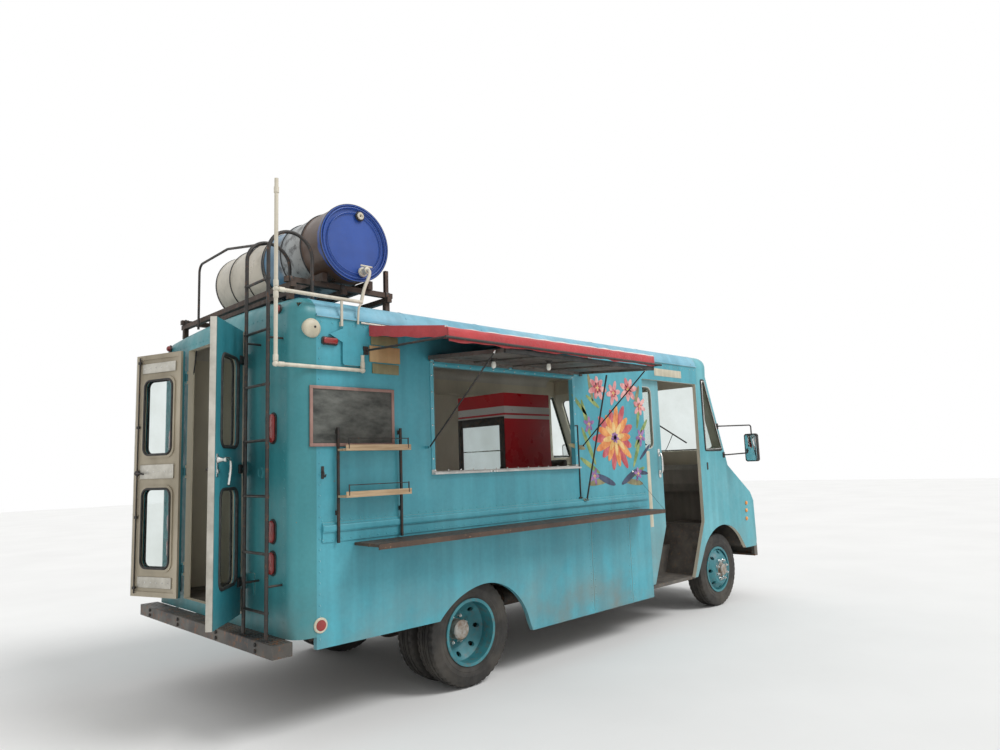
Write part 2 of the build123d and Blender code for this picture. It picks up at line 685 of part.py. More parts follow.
# Roof rack: legs, beams, saddles for the drums and two stakes
rack_y, drum_x, drum_r, drum_z = 950, 550, 300, 3421
with BuildPart() as roof_rack:
    for side in (-1, 1):
        with Locations((520, side * rack_y, 3100)):
            Box(920, 40, 40)
        for x in (100, 930):
            with Locations((x, side * rack_y, (roof_z(rack_y) + 1.8 + 3090) / 2)):
                Box(40, 40, 3090 - roof_z(rack_y) - 1.8)
        with Locations((930, side * rack_y, 3205)):
            Box(30, 30, 190)
    for x in (100, 520, 930):
        with Locations((x, 0, 3060)):
            Box(40, 2000, 40)
    for x in (drum_x - 200, drum_x + 200):
        saddle = drum_z - sqrt(drum_r ** 2 - 180 ** 2) - fit
        with Locations((x, 0, (3115 + saddle) / 2)):
            Box(40, 2000, saddle - 3115)
save("roof_rack", roof_rack.part)

# Two drums lie end to end across the rack
drum_y = (-1100, -195)
with BuildPart() as drums:
    for y0 in drum_y:
        with BuildSketch(Plane(origin=(drum_x, y0, drum_z), x_dir=(0, 1, 0), z_dir=(1, 0, 0))):
            Polygon((0, 297), (0, 285), (14, 285), (14, 0), (871, 0), (871, 285), (885, 285), (885, 297),
                    (873, 297), (865, 290), (605, 290), (595, drum_r), (585, 290), (300, 290),
                    (290, drum_r), (280, 290), (20, 290), (12, 297), align=None)
        revolve(axis=Axis((drum_x, 0, drum_z), (0, 1, 0)))
    # Two bungs on the right head
    with Locations((drum_x + 40, drum_y[0] + 11, drum_z + 215), (drum_x + 60, drum_y[0] + 11, drum_z - 215)):
        Cylinder(32, 18, rotation=(90, 0, 0))
        Cylinder(20, 18, rotation=(90, 0, 0), mode=Mode.SUBTRACT)
save("drums", drums.part)

# Water pipe: a mast behind the corner with two branches along the wall
pipe_r, pipe_y, mast_x = 13.35, -1222, -150
with BuildPart() as water_pipe:
    with BuildSketch(Plane.XY.offset(2440)):
        with Locations((mast_x, pipe_y)):
            Circle(pipe_r)
    extrude(amount=3700 - 2440)
    with Locations((mast_x, pipe_y, 2440), (mast_x, pipe_y, 2940), (mast_x + 670, pipe_y, 2440)):
        Sphere(20)
    with BuildSketch(Plane.YZ.offset(mast_x)):
        with Locations((pipe_y, 2440), (pipe_y, 2940)):
            Circle(pipe_r)
    extrude(amount=670)
    with Locations((mast_x + 670, pipe_y, 2440)):
        Cylinder(pipe_r, 110, align=(Align.CENTER, Align.CENTER, Align.MIN))
    # Coupling below the mast's open end
    with Locations((mast_x, pipe_y, 3620)):
        Cylinder(17, 40)
    # Wall clips
    for x in (250, 480):
        with Locations((x, -half_w - fit - 9, 2440)):
            Box(18, 18, 20)
    with Locations((350, pipe_y, 2845)):
        Box(16, 12, 200)
    with Locations((350, -half_w - fit - 11, 2760)):
        Box(16, 22, 30)
    # Open top of the mast
    with BuildSketch(Plane.XY.offset(3700)):
        with Locations((mast_x, pipe_y)):
            Circle(10.5)
    extrude(amount=-60, mode=Mode.SUBTRACT)
save("water_pipe", water_pipe.part)

# Mirrors: a head clamped to a bent tube on both front posts
with BuildPart() as mirrors:
    for side in (-1, 1):
        with BuildLine() as tube:
            FilletPolyline((5606, side * (half_w + fit), 2110), (5606, side * 1240, 2110),
                           (5985, side * 1445, 2116), (5985, side * 1445, 1782),
                           (5720, side * 1240, 1765), (5720, side * (half_w + fit), 1765), radius=25)
        with BuildSketch(Plane(origin=(5606, side * (half_w + fit), 2110), z_dir=(0, side, 0))):
            Circle(8)
        sweep(path=tube.wires()[0])
        with BuildSketch(Plane.YZ.offset(5930)):
            with Locations((side * 1457, 1842)):
                RectangleRounded(166, 336, 30)
        extrude(amount=38)
        for z in (1800, 1900, 1960):
            with Locations((5976, side * 1445, z)):
                Box(24, 30, 24)
save("mirrors", mirrors.part)

# Kitchen: a counter under the window and a tall cooler
with BuildPart() as kitchen:
    with Locations((2045, -822, 1640)):
        Box(1690, 525, 40)
    with Locations((2045, -570, 1180 + fit / 2)):
        Box(1690, 20, 880 - fit)
    for x in (1210, 2880):
        with Locations((x, -822, 1265)):
            Box(20, 525, 710)
    with Locations((2380, 810, 1200 + fit / 2)):
        Box(520, 540, 920 - fit)
save("kitchen", kitchen.part)

with BuildPart() as cooler:
    with Locations((3060, -100, 1600 + fit / 2)):
        Box(680, 700, 1720 - fit)
    with Locations((2720, -100, 1520)):
        Box(30, 600, 1260, mode=Mode.SUBTRACT)
save("cooler", cooler.part)

# Cab fittings: engine cover, bulkhead, dash and steering column
column_at, column_dir = Vector(5240, 450, 1560), Vector(0.8, 0, -0.6)
with BuildPart() as cab_fittings:
    with BuildSketch(Plane.YZ.offset(4960)):
        with Locations((0, 990 + fit / 2)):
            Rectangle(660, 500 - fit)
    extrude(amount=745)
    with BuildSketch(Plane.YZ.offset(5690)):
        Polygon((-box_out, 978.3), (-639.7, 978.3), (-639.7, 740.3), (639.7, 740.3), (639.7, 978.3),
                (box_out, 978.3), (box_out, 1660), (-box_out, 1660), align=None)
    extrude(amount=15)
    with BuildSketch(Plane.XZ.offset(-box_out)):
        Polygon((5692, 1660), (5692, 1330), (5560, 1330), (5500, 1430), (5500, 1600), (5540, 1660), align=None)
    extrude(amount=2 * box_out)
    with Locations((5350, 0, 960)):
        Box(750, 630, 530, mode=Mode.SUBTRACT)
    with BuildSketch(Plane(origin=column_at + column_dir * 60, z_dir=column_dir)):
        Circle(22)
    extrude(amount=300)
    with BuildSketch(Plane(origin=column_at + column_dir * 50, z_dir=column_dir)):
        Circle(12 + fit)
    extrude(amount=220, mode=Mode.SUBTRACT)
save("cab_fittings", cab_fittings.part)

with BuildPart() as steering_wheel:
    with BuildSketch(Plane(origin=column_at, x_dir=(0, 1, 0), z_dir=column_dir)):
        Circle(34)
        with PolarLocations(0, 3, start_angle=-90):
            with Locations((105, 0)):
                Rectangle(210, 30)
    extrude(amount=12, both=True)
    with BuildSketch(Plane(origin=column_at, x_dir=(0, 1, 0), z_dir=(0.6, 0, 0.8))):
        with Locations((210, 0)):
            Circle(15)
    revolve(axis=Axis(column_at, column_dir))
    with BuildSketch(Plane(origin=column_at, z_dir=column_dir)):
        Circle(12)
    extrude(amount=230)
save("steering_wheel", steering_wheel.part)

with BuildPart() as seat:
    with Locations((4700, 450, 880 + fit / 2)):
        Box(340, 360, 280 - fit)
    with Locations((4700, 450, 1075)):
        Box(500, 500, 120)
    with BuildSketch(Plane.XZ.offset(-200)):
        Polygon((4460, 1100), (4560, 1100), (4470, 1820), (4390, 1800), align=None)
    extrude(amount=-500)
save("seat", seat.part)


def hub_plane(x, y, side):
    """Section through a wheel's axle: local x looks outward, local y is the radius."""
    return Plane(origin=(x, side * y, tyre_r), x_dir=(0, side, 0), z_dir=(side, 0, 0))


# Disc and barrel of one wheel, as outward place and radius, dished inward
rim_points = ((-92, rim_r), (-82.3, rim_r), (-82.3, bead_r - fit), (82.3, bead_r - fit), (82.3, rim_r), (92, rim_r),
              (92, 236), (-36, 236), (-96, 172), (-113, 150), (-113, 50), (-127.5, 50), (-127.5, 158),
              (-110, 184), (-62, 236), (-92, 236))
tyres = []
for side, name in ((-1, "right"), (1, "left")):
    # Steering knuckle: fork and pin around the axle eye, spindle outward
    with BuildPart() as knuckle:
        for z in (tyre_r + 61, tyre_r - 61):
            with Locations((front_x, side * 893, z)):
                Box(72, 98, 22)
        with Locations((front_x, side * 932, tyre_r)):
            Box(72, 20, 144)
        with Locations((front_x, side * 1025, tyre_r)):
            Cylinder(30, 188, rotation=(90, 0, 0))
        with Locations((front_x, side * king_y, tyre_r)):
            Cylinder(16, 144)
    save("knuckle_" + name, knuckle.part)
    # Front rim with its hub and brake drum, dished outward
    with BuildPart() as rim:
        with BuildSketch(hub_plane(front_x, front_y, side)):
            Polygon(*[(-place, radius) for place, radius in rim_points], align=None)
            Polygon((-55, 30 + fit), (-55, 180), (0, 180), (60, 110), (113, 100), (127, 62), (160, 62), (168, 50),
                    (168, 0), (112, 0), (112, 30 + fit), align=None)
        revolve(axis=Axis((front_x, 0, tyre_r), (0, 1, 0)))
        with BuildSketch(Plane(origin=(front_x, side * (front_y + 20), tyre_r), z_dir=(0, side, 0))):
            with PolarLocations(196, 8):
                Circle(20)
        extrude(amount=120, mode=Mode.SUBTRACT)
    save("rim_front_" + name, rim.part)
    # Twin rear rims on one hub, disc against disc
    inner = (rear_in_y - rear_out_y)
    with BuildPart() as rims:
        with BuildSketch(hub_plane(rear_x, rear_out_y, side)):
            Polygon(*rim_points, align=None)
            Polygon(*[(inner - place, radius) for place, radius in rim_points], align=None)
            Polygon((-365, 62), (-365, 190), (-170, 190), (-150, 120), (-120, 120), (-100, 78), (-30, 78),
                    (-22, 66), (-22, 0), (-68, 0), (-68, 42 + fit), (-350, 42 + fit), (-350, 62), align=None)
        revolve(axis=Axis((rear_x, 0, tyre_r), (0, 1, 0)))
        with BuildSketch(Plane(origin=(rear_x, side * (rear_out_y - 20), tyre_r), z_dir=(0, -side, 0))):
            with PolarLocations(196, 8):
                Circle(20)
        extrude(amount=136, mode=Mode.SUBTRACT)
    save("rims_rear_" + name, rims.part)
    tyres += [("tyre_front_" + name, front_x, front_y, side),
              ("tyre_rear_outer_" + name, rear_x, rear_out_y, side),
              ("tyre_rear_inner_" + name, rear_x, rear_in_y, side)]

# Tyres, all of one size
for name, x, y, side in tyres:
    with BuildPart() as tyre:
        with BuildSketch(hub_plane(x, y, side)):
            with BuildLine():
                Polyline((-82, 262), (-80, bead_r), (80, bead_r), (82, 262))
                ThreePointArc((82, 262), (tyre_w / 2, 335), (88, 410))
                ThreePointArc((88, 410), (0, tyre_r), (-88, 410))
                ThreePointArc((-88, 410), (-tyre_w / 2, 335), (-82, 262))
            make_face()
        revolve(axis=Axis((x, 0, tyre_r), (0, 1, 0)))
    save(name, tyre.part)
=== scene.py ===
from math import atan2, cos, exp, pi, radians, sin
import bpy
from mathutils import Matrix, Vector


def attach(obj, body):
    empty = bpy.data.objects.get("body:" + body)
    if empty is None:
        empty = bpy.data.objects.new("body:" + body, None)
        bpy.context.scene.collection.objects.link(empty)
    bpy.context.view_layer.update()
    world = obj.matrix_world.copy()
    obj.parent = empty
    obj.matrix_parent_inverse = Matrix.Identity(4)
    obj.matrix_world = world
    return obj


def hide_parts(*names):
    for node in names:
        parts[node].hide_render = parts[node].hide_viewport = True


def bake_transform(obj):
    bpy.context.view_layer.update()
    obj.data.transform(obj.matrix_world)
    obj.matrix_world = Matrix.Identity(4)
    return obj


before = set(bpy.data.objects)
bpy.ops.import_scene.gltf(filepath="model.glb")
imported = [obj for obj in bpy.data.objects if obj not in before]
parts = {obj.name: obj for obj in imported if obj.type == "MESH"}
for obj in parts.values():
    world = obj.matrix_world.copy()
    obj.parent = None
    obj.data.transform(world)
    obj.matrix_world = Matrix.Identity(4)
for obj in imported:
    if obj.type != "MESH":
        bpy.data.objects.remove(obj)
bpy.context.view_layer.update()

# Studio: the camera stands at eye height off the truck's right rear corner.
# A pale floor, an even white surround and one soft lamp high on the serving side.
bpy.ops.object.select_all(action="DESELECT")
bpy.ops.object.camera_add()
camera = bpy.context.object
right = Vector((0.7115, -0.7021, -0.0344)).normalized()
back = -Vector((0.6998, 0.7031, 0.1253)).normalized()
up = back.cross(right).normalized()
camera.matrix_world = Matrix.Translation((-2.36, -5.51, 1.733)) @ Matrix((right, up, back)).transposed().to_4x4()
camera.data.sensor_width = 36
camera.data.lens = 25.7
bpy.context.scene.camera = camera
bpy.context.scene.view_settings.view_transform = "Standard"

bpy.ops.object.light_add(type="SUN", rotation=(radians(38), radians(22), 0))
lamp = bpy.context.object
lamp.data.energy = 1.7
lamp.data.angle = radians(25)


def put(tree, kind, inputs=(), **settings):
    """A shader node with its settings and inputs; an input is a value or another node's socket."""
    made = tree.nodes.new("ShaderNode" + kind)
    for key, value in settings.items():
        setattr(made, key, value)
    for key, value in dict(inputs).items():
        if isinstance(value, bpy.types.NodeSocket):
            tree.links.new(value, made.inputs[key])
        else:
            made.inputs[key].default_value = value
    return made


surround = bpy.data.worlds.new("studio_surround")
bpy.context.scene.world = surround
surround.use_nodes = True
tree = surround.node_tree
rays = put(tree, "LightPath")
seen = put(tree, "Math", {0: rays.outputs["Is Camera Ray"], 1: rays.outputs["Is Glossy Ray"]}, operation="MAXIMUM")
seen = put(tree, "Math", {0: seen.outputs[0], 1: rays.outputs["Is Transmission Ray"]}, operation="MAXIMUM")
level = put(tree, "MapRange", {"Value": seen.outputs[0], "To Min": 0.74, "To Max": 1.0})
light = tree.nodes["Background"]
light.inputs["Color"].default_value = (1, 1, 1, 1)
tree.links.new(level.outputs["Result"], light.inputs["Strength"])


def blank(name):
    """A new material: its node tree and its shader."""
    made = bpy.data.materials.new(name)
    made.use_nodes = True
    return made, made.node_tree, made.node_tree.nodes["Principled BSDF"]


def grain(tree, scale, detail=4, stretch=(1, 1, 1), rough=0.55):
    """Noise on the object's own coordinates, as a factor."""
    place = put(tree, "TexCoord").outputs["Object"]
    if stretch != (1, 1, 1):
        place = put(tree, "Mapping", {"Vector": place, "Scale": stretch}).outputs[0]
    return put(tree, "TexNoise", {"Vector": place, "Scale": scale, "Detail": detail, "Roughness": rough}).outputs["Fac"]


def steps(tree, factor, *stops):
    """A ramp over a factor; each stop is a place and a colour or grey level."""
    ramp = put(tree, "ValToRGB", {"Fac": factor})
    band = ramp.color_ramp
    while len(band.elements) < len(stops):
        band.elements.new(1)
    for element, (place, colour) in zip(band.elements, stops):
        element.position = place
        element.color = (*colour, 1) if hasattr(colour, "__len__") else (colour, colour, colour, 1)
    return ramp.outputs["Color"]


def over(tree, factor, under, top, blend="MIX"):
    """One colour laid over another by a factor."""
    made = put(tree, "Mix", data_type="RGBA", blend_type=blend)
    for socket, value in ((made.inputs[0], factor), (made.inputs[6], under), (made.inputs[7], top)):
        if isinstance(value, bpy.types.NodeSocket):
            tree.links.new(value, socket)
        elif hasattr(value, "__len__"):
            socket.default_value = (*value, 1)
        else:
            socket.default_value = value
    return made.outputs[2]


def skin(tree, shader, colour=None, rough=None, bump=None, height=0.001):
    """Joins colour, roughness and a bump height to the shader."""
    if colour is not None:
        tree.links.new(colour, shader.inputs["Base Color"])
    if rough is not None:
        tree.links.new(rough, shader.inputs["Roughness"])
    if bump is not None:
        lift = put(tree, "Bump", {"Height": bump, "Strength": 0.6, "Distance": height})
        tree.links.new(lift.outputs[0], shader.inputs["Normal"])


floor_pale, tree, shader = blank("studio_floor")
skin(tree, shader, steps(tree, grain(tree, 0.6), (0.3, (0.78, 0.78, 0.77)), (0.7, (0.82, 0.82, 0.81))))
shader.inputs["Roughness"].default_value = 0.85
bpy.ops.mesh.primitive_plane_add(size=90, location=(2.5, 0, 0))
ground = bpy.context.object
ground.name = "studio_ground"
ground.data.materials.append(floor_pale)


# Body shell: riveted aluminium and steel sheet over frames, brushed and sprayed turquoise
# by hand many times; the inside is cream. Chips show old primer, dust lies low down.
def enamel(name, colour, faded, chip=(0.23, 0.15, 0.09), bare=0.70, gloss=0.32, dust=None, lining=None, fine=1.0):
    """Hand-laid paint: fading, runs, chips, and dust below a height; a lining colour where faces look inward."""
    made, tree, shader = blank(name)
    tone = steps(tree, grain(tree, 1.3 * fine, 5), (0.35, colour), (0.68, faded))
    runs = steps(tree, grain(tree, 7 * fine, 4, (1, 1, 0.07)), (0.42, 0.80), (0.62, 1.0))
    tone = over(tree, 0.75, tone, runs, "MULTIPLY")
    mottle = steps(tree, grain(tree, 38 * fine, 6), (0.3, 0.86), (0.7, 1.0))
    tone = over(tree, 0.6, tone, mottle, "MULTIPLY")
    if dust is not None:
        place = put(tree, "SeparateXYZ", {0: put(tree, "TexCoord").outputs["Object"]}).outputs["Z"]
        low = put(tree, "MapRange", {"Value": place, "From Min": dust, "From Max": dust - 0.55}).outputs["Result"]
        cloud = steps(tree, grain(tree, 3.1, 6), (0.35, 0.0), (0.75, 0.75))
        tone = over(tree, put(tree, "Math", {0: low, 1: cloud}, operation="MULTIPLY").outputs[0], tone,
                    (0.20, 0.17, 0.13))
    if lining is not None:
        face = put(tree, "NewGeometry")
        place = put(tree, "TexCoord").outputs["Object"]
        out = put(tree, "VectorMath", {0: place, 1: (2.8, 0, 1.7)}, operation="SUBTRACT")
        side = put(tree, "VectorMath", {0: face.outputs["Normal"], 1: out.outputs[0]}, operation="DOT_PRODUCT")
        inward = put(tree, "Math", {0: side.outputs["Value"], 1: -0.15}, operation="LESS_THAN").outputs[0]
        stain = steps(tree, grain(tree, 2.3, 5, (1, 1, 0.4)), (0.3, [0.72 * c for c in lining]), (0.7, lining))
        tone = over(tree, inward, tone, stain)
    chips = steps(tree, grain(tree, 17 * fine, 7, rough=0.72), (bare, 0.0), (bare + 0.03, 1.0))
    tone = over(tree, chips, tone, chip)
    rough = steps(tree, grain(tree, 11 * fine, 5), (0.3, gloss), (0.75, min(gloss + 0.22, 0.9)))
    skin(tree, shader, tone, rough, grain(tree, 2.2 * fine, 2), 0.006)
    return made


def dress(material, *names):
    """Gives CAD nodes a material in place of the plain one they come with."""
    for name in names:
        parts[name].data.materials.clear()
        parts[name].data.materials.append(material)


cream = (0.66, 0.61, 0.48)
turquoise = (0.055, 0.33, 0.41)
upright = (0, 0, 1)
body_enamel = enamel("turquoise_enamel", turquoise, (0.085, 0.39, 0.47), dust=1.0, lining=cream)
dress(body_enamel, "side_right", "side_left")
# The cab's paler turquoise is partly real fading and partly painted sunlight on the cab.
cab_faded_sunlit_enamel = enamel("cab_turquoise_faded_and_sunlit", (0.085, 0.38, 0.44), (0.15, 0.46, 0.52), dust=1.0, lining=cream)
dress(cab_faded_sunlit_enamel, "cab_front")
# The rear's teal is the side turquoise darkened: painted shade, as the rear faces away from the light.
rear_shaded_enamel = enamel("rear_turquoise_painted_shade", (0.035, 0.24, 0.27), (0.06, 0.30, 0.33), dust=1.0, lining=cream,
                     bare=0.67)
dress(rear_shaded_enamel, "rear_wall")
# The roof is paler than the sides: painted sunlight falling on the top.
roof_enamel = enamel("roof_enamel_painted_sunlight", (0.16, 0.43, 0.56), (0.27, 0.54, 0.66), lining=(0.6, 0.57, 0.5),
                     bare=0.66, gloss=0.4)
dress(roof_enamel, "roof")


def calm():
    """Nothing selected, so that an operator acts on the next primitive alone."""
    if bpy.context.mode != "OBJECT":
        bpy.ops.object.mode_set(mode="OBJECT")
    bpy.ops.object.select_all(action="DESELECT")


def keep(piece, name, body, material, angle=35):
    """A finished piece: its place goes into its mesh, and it is named, dressed and rides on its body."""
    calm()
    piece.select_set(True)
    bpy.context.view_layer.objects.active = piece
    bpy.ops.object.transform_apply(location=True, rotation=True, scale=True)
    bpy.ops.object.mode_set(mode="EDIT")
    bpy.ops.mesh.select_all(action="SELECT")
    bpy.ops.mesh.normals_make_consistent(inside=False)
    bpy.ops.object.mode_set(mode="OBJECT")
    bpy.ops.object.shade_smooth_by_angle(angle=radians(angle))
    piece.name = name
    piece.data.name = name
    piece.data.materials.clear()
    piece.data.materials.append(material)
    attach(piece, body)
    return piece


def gather(pieces):
    """Several pieces joined into the first."""
    calm()
    for piece in pieces:
        piece.select_set(True)
    bpy.context.view_layer.objects.active = pieces[0]
    if len(pieces) > 1:
        bpy.ops.object.join()
    return pieces[0]


def slab(low, high, round_off=0.002, segments=2, at=None):
    """A box between two corners with rounded edges, in the row frame or in that of at."""
    calm()
    middle = [(a + b) / 2 for a, b in zip(low, high)]
    bpy.ops.mesh.primitive_cube_add(size=1, location=middle, scale=[b - a for a, b in zip(low, high)])
    piece = bpy.context.object
    bpy.ops.object.transform_apply(location=True, rotation=True, scale=True)
    bpy.ops.object.mode_set(mode="EDIT")
    bpy.ops.mesh.select_all(action="SELECT")
    bpy.ops.mesh.bevel(offset=round_off, segments=segments, affect="EDGES")
    bpy.ops.object.mode_set(mode="OBJECT")
    if at is not None:
        piece.data.transform(at)
    return piece


def turned(stations, at, sides=32):
    """A round piece drawn out along local z; each station is a radius and a height."""
    calm()
    radius, height = stations[0]
    bpy.ops.mesh.primitive_circle_add(vertices=sides, radius=radius, fill_type="NGON", location=(0, 0, height))
    piece = bpy.context.object
    bpy.ops.object.transform_apply(location=True, rotation=True, scale=True)
    bpy.ops.object.mode_set(mode="EDIT")
    bpy.ops.mesh.select_all(action="SELECT")
    for next_radius, next_height in stations[1:]:
        bpy.ops.mesh.extrude_region_move(TRANSFORM_OT_translate={"value": (0, 0, next_height - height)})
        scale = next_radius / radius
        bpy.ops.transform.resize(value=(scale, scale, 1), center_override=(0, 0, next_height))
        radius, height = next_radius, next_height
    bpy.ops.object.mode_set(mode="OBJECT")
    piece.data.transform(at)
    return piece


def facing(origin, x, y):
    """A place whose local x and y run along the two given directions."""
    x, y = Vector(x).normalized(), Vector(y).normalized()
    made = Matrix((x, y, x.cross(y))).transposed().to_4x4()
    made.translation = origin
    return made


def on_right(x, z, out=0.0):
    """A place on the right wall, local z pointing outward."""
    return facing((x, -1.2 - out, z), (1, 0, 0), (0, 0, 1))


def on_left(x, z, out=0.0):
    """A place on the left wall, local z pointing outward."""
    return facing((x, 1.2 + out, z), (-1, 0, 0), (0, 0, 1))


def on_rear(y, z, out=0.0):
    """A place on the rear face, local z pointing outward."""
    return facing((-out, y, z), (0, -1, 0), (0, 0, 1))


def on_front(y, z, x):
    """A place on the nose at a given x, local z pointing forward."""
    return facing((x, y, z), (0, 1, 0), (0, 0, 1))


def rounded(width, height, corner, segments=6):
    """A flat rounded rectangle in the local plane, centred."""
    calm()
    bpy.ops.mesh.primitive_plane_add(size=1, scale=(width, height, 1))
    piece = bpy.context.object
    piece.scale = (width, height, 1)
    bpy.ops.object.transform_apply(location=True, rotation=True, scale=True)
    bpy.ops.object.mode_set(mode="EDIT")
    bpy.ops.mesh.select_all(action="SELECT")
    bpy.ops.mesh.bevel(offset=corner, segments=segments, affect="VERTICES")
    bpy.ops.object.mode_set(mode="OBJECT")
    return piece


def plate(width, height, corner, thick, at, round_off=0.001):
    """A thin rounded sheet standing on its place."""
    piece = rounded(width, height, corner)
    bpy.ops.object.mode_set(mode="EDIT")
    bpy.ops.mesh.select_all(action="SELECT")
    bpy.ops.mesh.extrude_region_move(TRANSFORM_OT_translate={"value": (0, 0, thick)})
    bpy.ops.object.mode_set(mode="OBJECT")
    trim = piece.modifiers.new("edge", "BEVEL")
    trim.width, trim.segments, trim.limit_method = round_off, 2, "ANGLE"
    bpy.ops.object.modifier_apply(modifier="edge")
    piece.data.transform(at)
    return piece


def thread(points, radius, cyclic=False, order=3, sides=3):
    """A round bar or tube along a smooth line through the given control points."""
    calm()
    bpy.ops.curve.primitive_nurbs_path_add()
    piece = bpy.context.object
    line = piece.data
    line.splines.clear()
    run = line.splines.new("NURBS")
    run.points.add(len(points) - 1)
    for point, place in zip(run.points, points):
        point.co = (*place, 1)
    run.use_cyclic_u = cyclic
    run.order_u = order
    run.use_endpoint_u = not cyclic
    run.resolution_u = 6
    line.dimensions = "3D"
    line.bevel_depth = radius
    line.bevel_resolution = sides
    line.use_fill_caps = True
    bpy.ops.object.convert(target="MESH")
    return bpy.context.object


def gasket(width, height, corner, radius, at):
    """A round rubber bead along a rounded rectangle."""
    piece = rounded(width, height, corner)
    bpy.ops.object.mode_set(mode="EDIT")
    bpy.ops.mesh.select_all(action="SELECT")
    bpy.ops.mesh.delete(type="ONLY_FACE")
    bpy.ops.object.mode_set(mode="OBJECT")
    bpy.ops.object.convert(target="CURVE")
    piece = bpy.context.object
    piece.data.bevel_depth = radius
    piece.data.bevel_resolution = 3
    bpy.ops.object.convert(target="MESH")
    piece = bpy.context.object
    piece.data.transform(at)
    return piece


def rivets(name, rows, flat, radius=0.007, body="truck", material=None):
    """Rows of snap heads; each row is a first place, a last place and a count, flat along one axis."""
    made = []
    for first, last, count in rows:
        calm()
        size = [0.45 if i == flat else 1.0 for i in range(3)]
        bpy.ops.mesh.primitive_uv_sphere_add(segments=8, ring_count=4, radius=radius, location=first)
        head = bpy.context.object
        head.scale = size
        bpy.ops.object.transform_apply(location=True, rotation=True, scale=True)
        row = head.modifiers.new("row", "ARRAY")
        row.count = count
        row.use_relative_offset = False
        row.use_constant_offset = True
        row.constant_offset_displace = (Vector(last) - Vector(first)) / max(count - 1, 1)
        bpy.ops.object.modifier_apply(modifier="row")
        made.append(head)
    return keep(gather(made), name, body, material or body_enamel)


for side, name in ((-1, "right"), (1, "left")):
    skin_y = side * 1.2005
    rows = [((0.20, side * 1.2095, 1.276), (4.0, side * 1.2095, 1.276), 52),
            ((0.20, skin_y, 1.405), (4.0, skin_y, 1.405), 52),
            ((0.20, skin_y, 2.765), (5.15, skin_y, 2.765), 58),
            ((0.182, skin_y, 0.64), (0.182, skin_y, 2.72), 30)]
    for x in (3.045, 3.105, 3.660, 3.720):
        rows.append(((x, skin_y, 0.38), (x, skin_y, 1.22), 14))
    rivets("rivets_" + name, rows, 1)
rivets("rivets_rear", [((-0.0005, y, 0.70), (-0.0005, y, 2.74), 34) for y in (-1.055, -0.56, 0.68, 1.055)]
       + [((-0.0005, -1.0, 2.83), (-0.0005, 1.0, 2.83), 30)], 0, material=rear_shaded_enamel)

# Belt rail: a half-round pressed rail along each side under the window.
for side, name in ((-1, "right"), (1, "left")):
    low, high = sorted((side * 1.2, side * 1.2235))
    rail = slab((0.2, low, 1.326), (4.02, high, 1.374), 0.0115, 5)
    keep(rail, "belt_rail_" + name, "truck", body_enamel, 50)

# Rear doors: two pressed leaves with rubber-set panes, cream inside, an aluminium channel
# on each free edge, black straps on the hinges, a lever outside and bolts inside.
rubber, tree, shader = blank("black_rubber")
skin(tree, shader, steps(tree, grain(tree, 30, 5), (0.35, (0.012, 0.012, 0.012)), (0.75, (0.045, 0.042, 0.038))),
     steps(tree, grain(tree, 9), (0.3, 0.45), (0.7, 0.75)), grain(tree, 260, 2), 0.0006)


def metal(name, colour, dull, rough=0.3, fine=1.0, metallic=1.0, spots=None):
    """Bare or plated metal, dulled in patches; spots are rust or stains."""
    made, tree, shader = blank(name)
    shader.inputs["Metallic"].default_value = metallic
    tone = steps(tree, grain(tree, 6 * fine, 5), (0.35, colour), (0.7, dull))
    if spots is not None:
        flecks = steps(tree, grain(tree, 24 * fine, 7, rough=0.7), (0.56, 0.0), (0.66, 1.0))
        tone = over(tree, flecks, tone, spots)
    rough = steps(tree, grain(tree, 14 * fine, 5), (0.3, rough), (0.75, min(rough + 0.28, 1)))
    skin(tree, shader, tone, rough, grain(tree, 60 * fine, 4), 0.0005)
    return made


chrome = metal("worn_chrome", (0.72, 0.72, 0.70), (0.50, 0.49, 0.46), 0.12, 2)
trim_metal = metal("dull_aluminium", (0.60, 0.58, 0.52), (0.42, 0.40, 0.35), 0.35, 1.5, 0.8)
black_iron = metal("black_painted_iron", (0.016, 0.015, 0.014), (0.035, 0.03, 0.026), 0.42, 1.5, 0.0,
                   (0.11, 0.045, 0.018))
glass, tree, shader = blank("dusty_window_glass")
shader.inputs["Transmission Weight"].default_value = 1.0
shader.inputs["IOR"].default_value = 1.05
skin(tree, shader, steps(tree, grain(tree, 2.5, 6), (0.3, (0.80, 0.86, 0.85)), (0.8, (0.66, 0.71, 0.68))),
     steps(tree, grain(tree, 4, 6), (0.35, 0.02), (0.8, 0.16)))
dress(glass, "rear_glass_right", "rear_glass_left", "cab_glass_right", "cab_glass_left", "cab_glass")

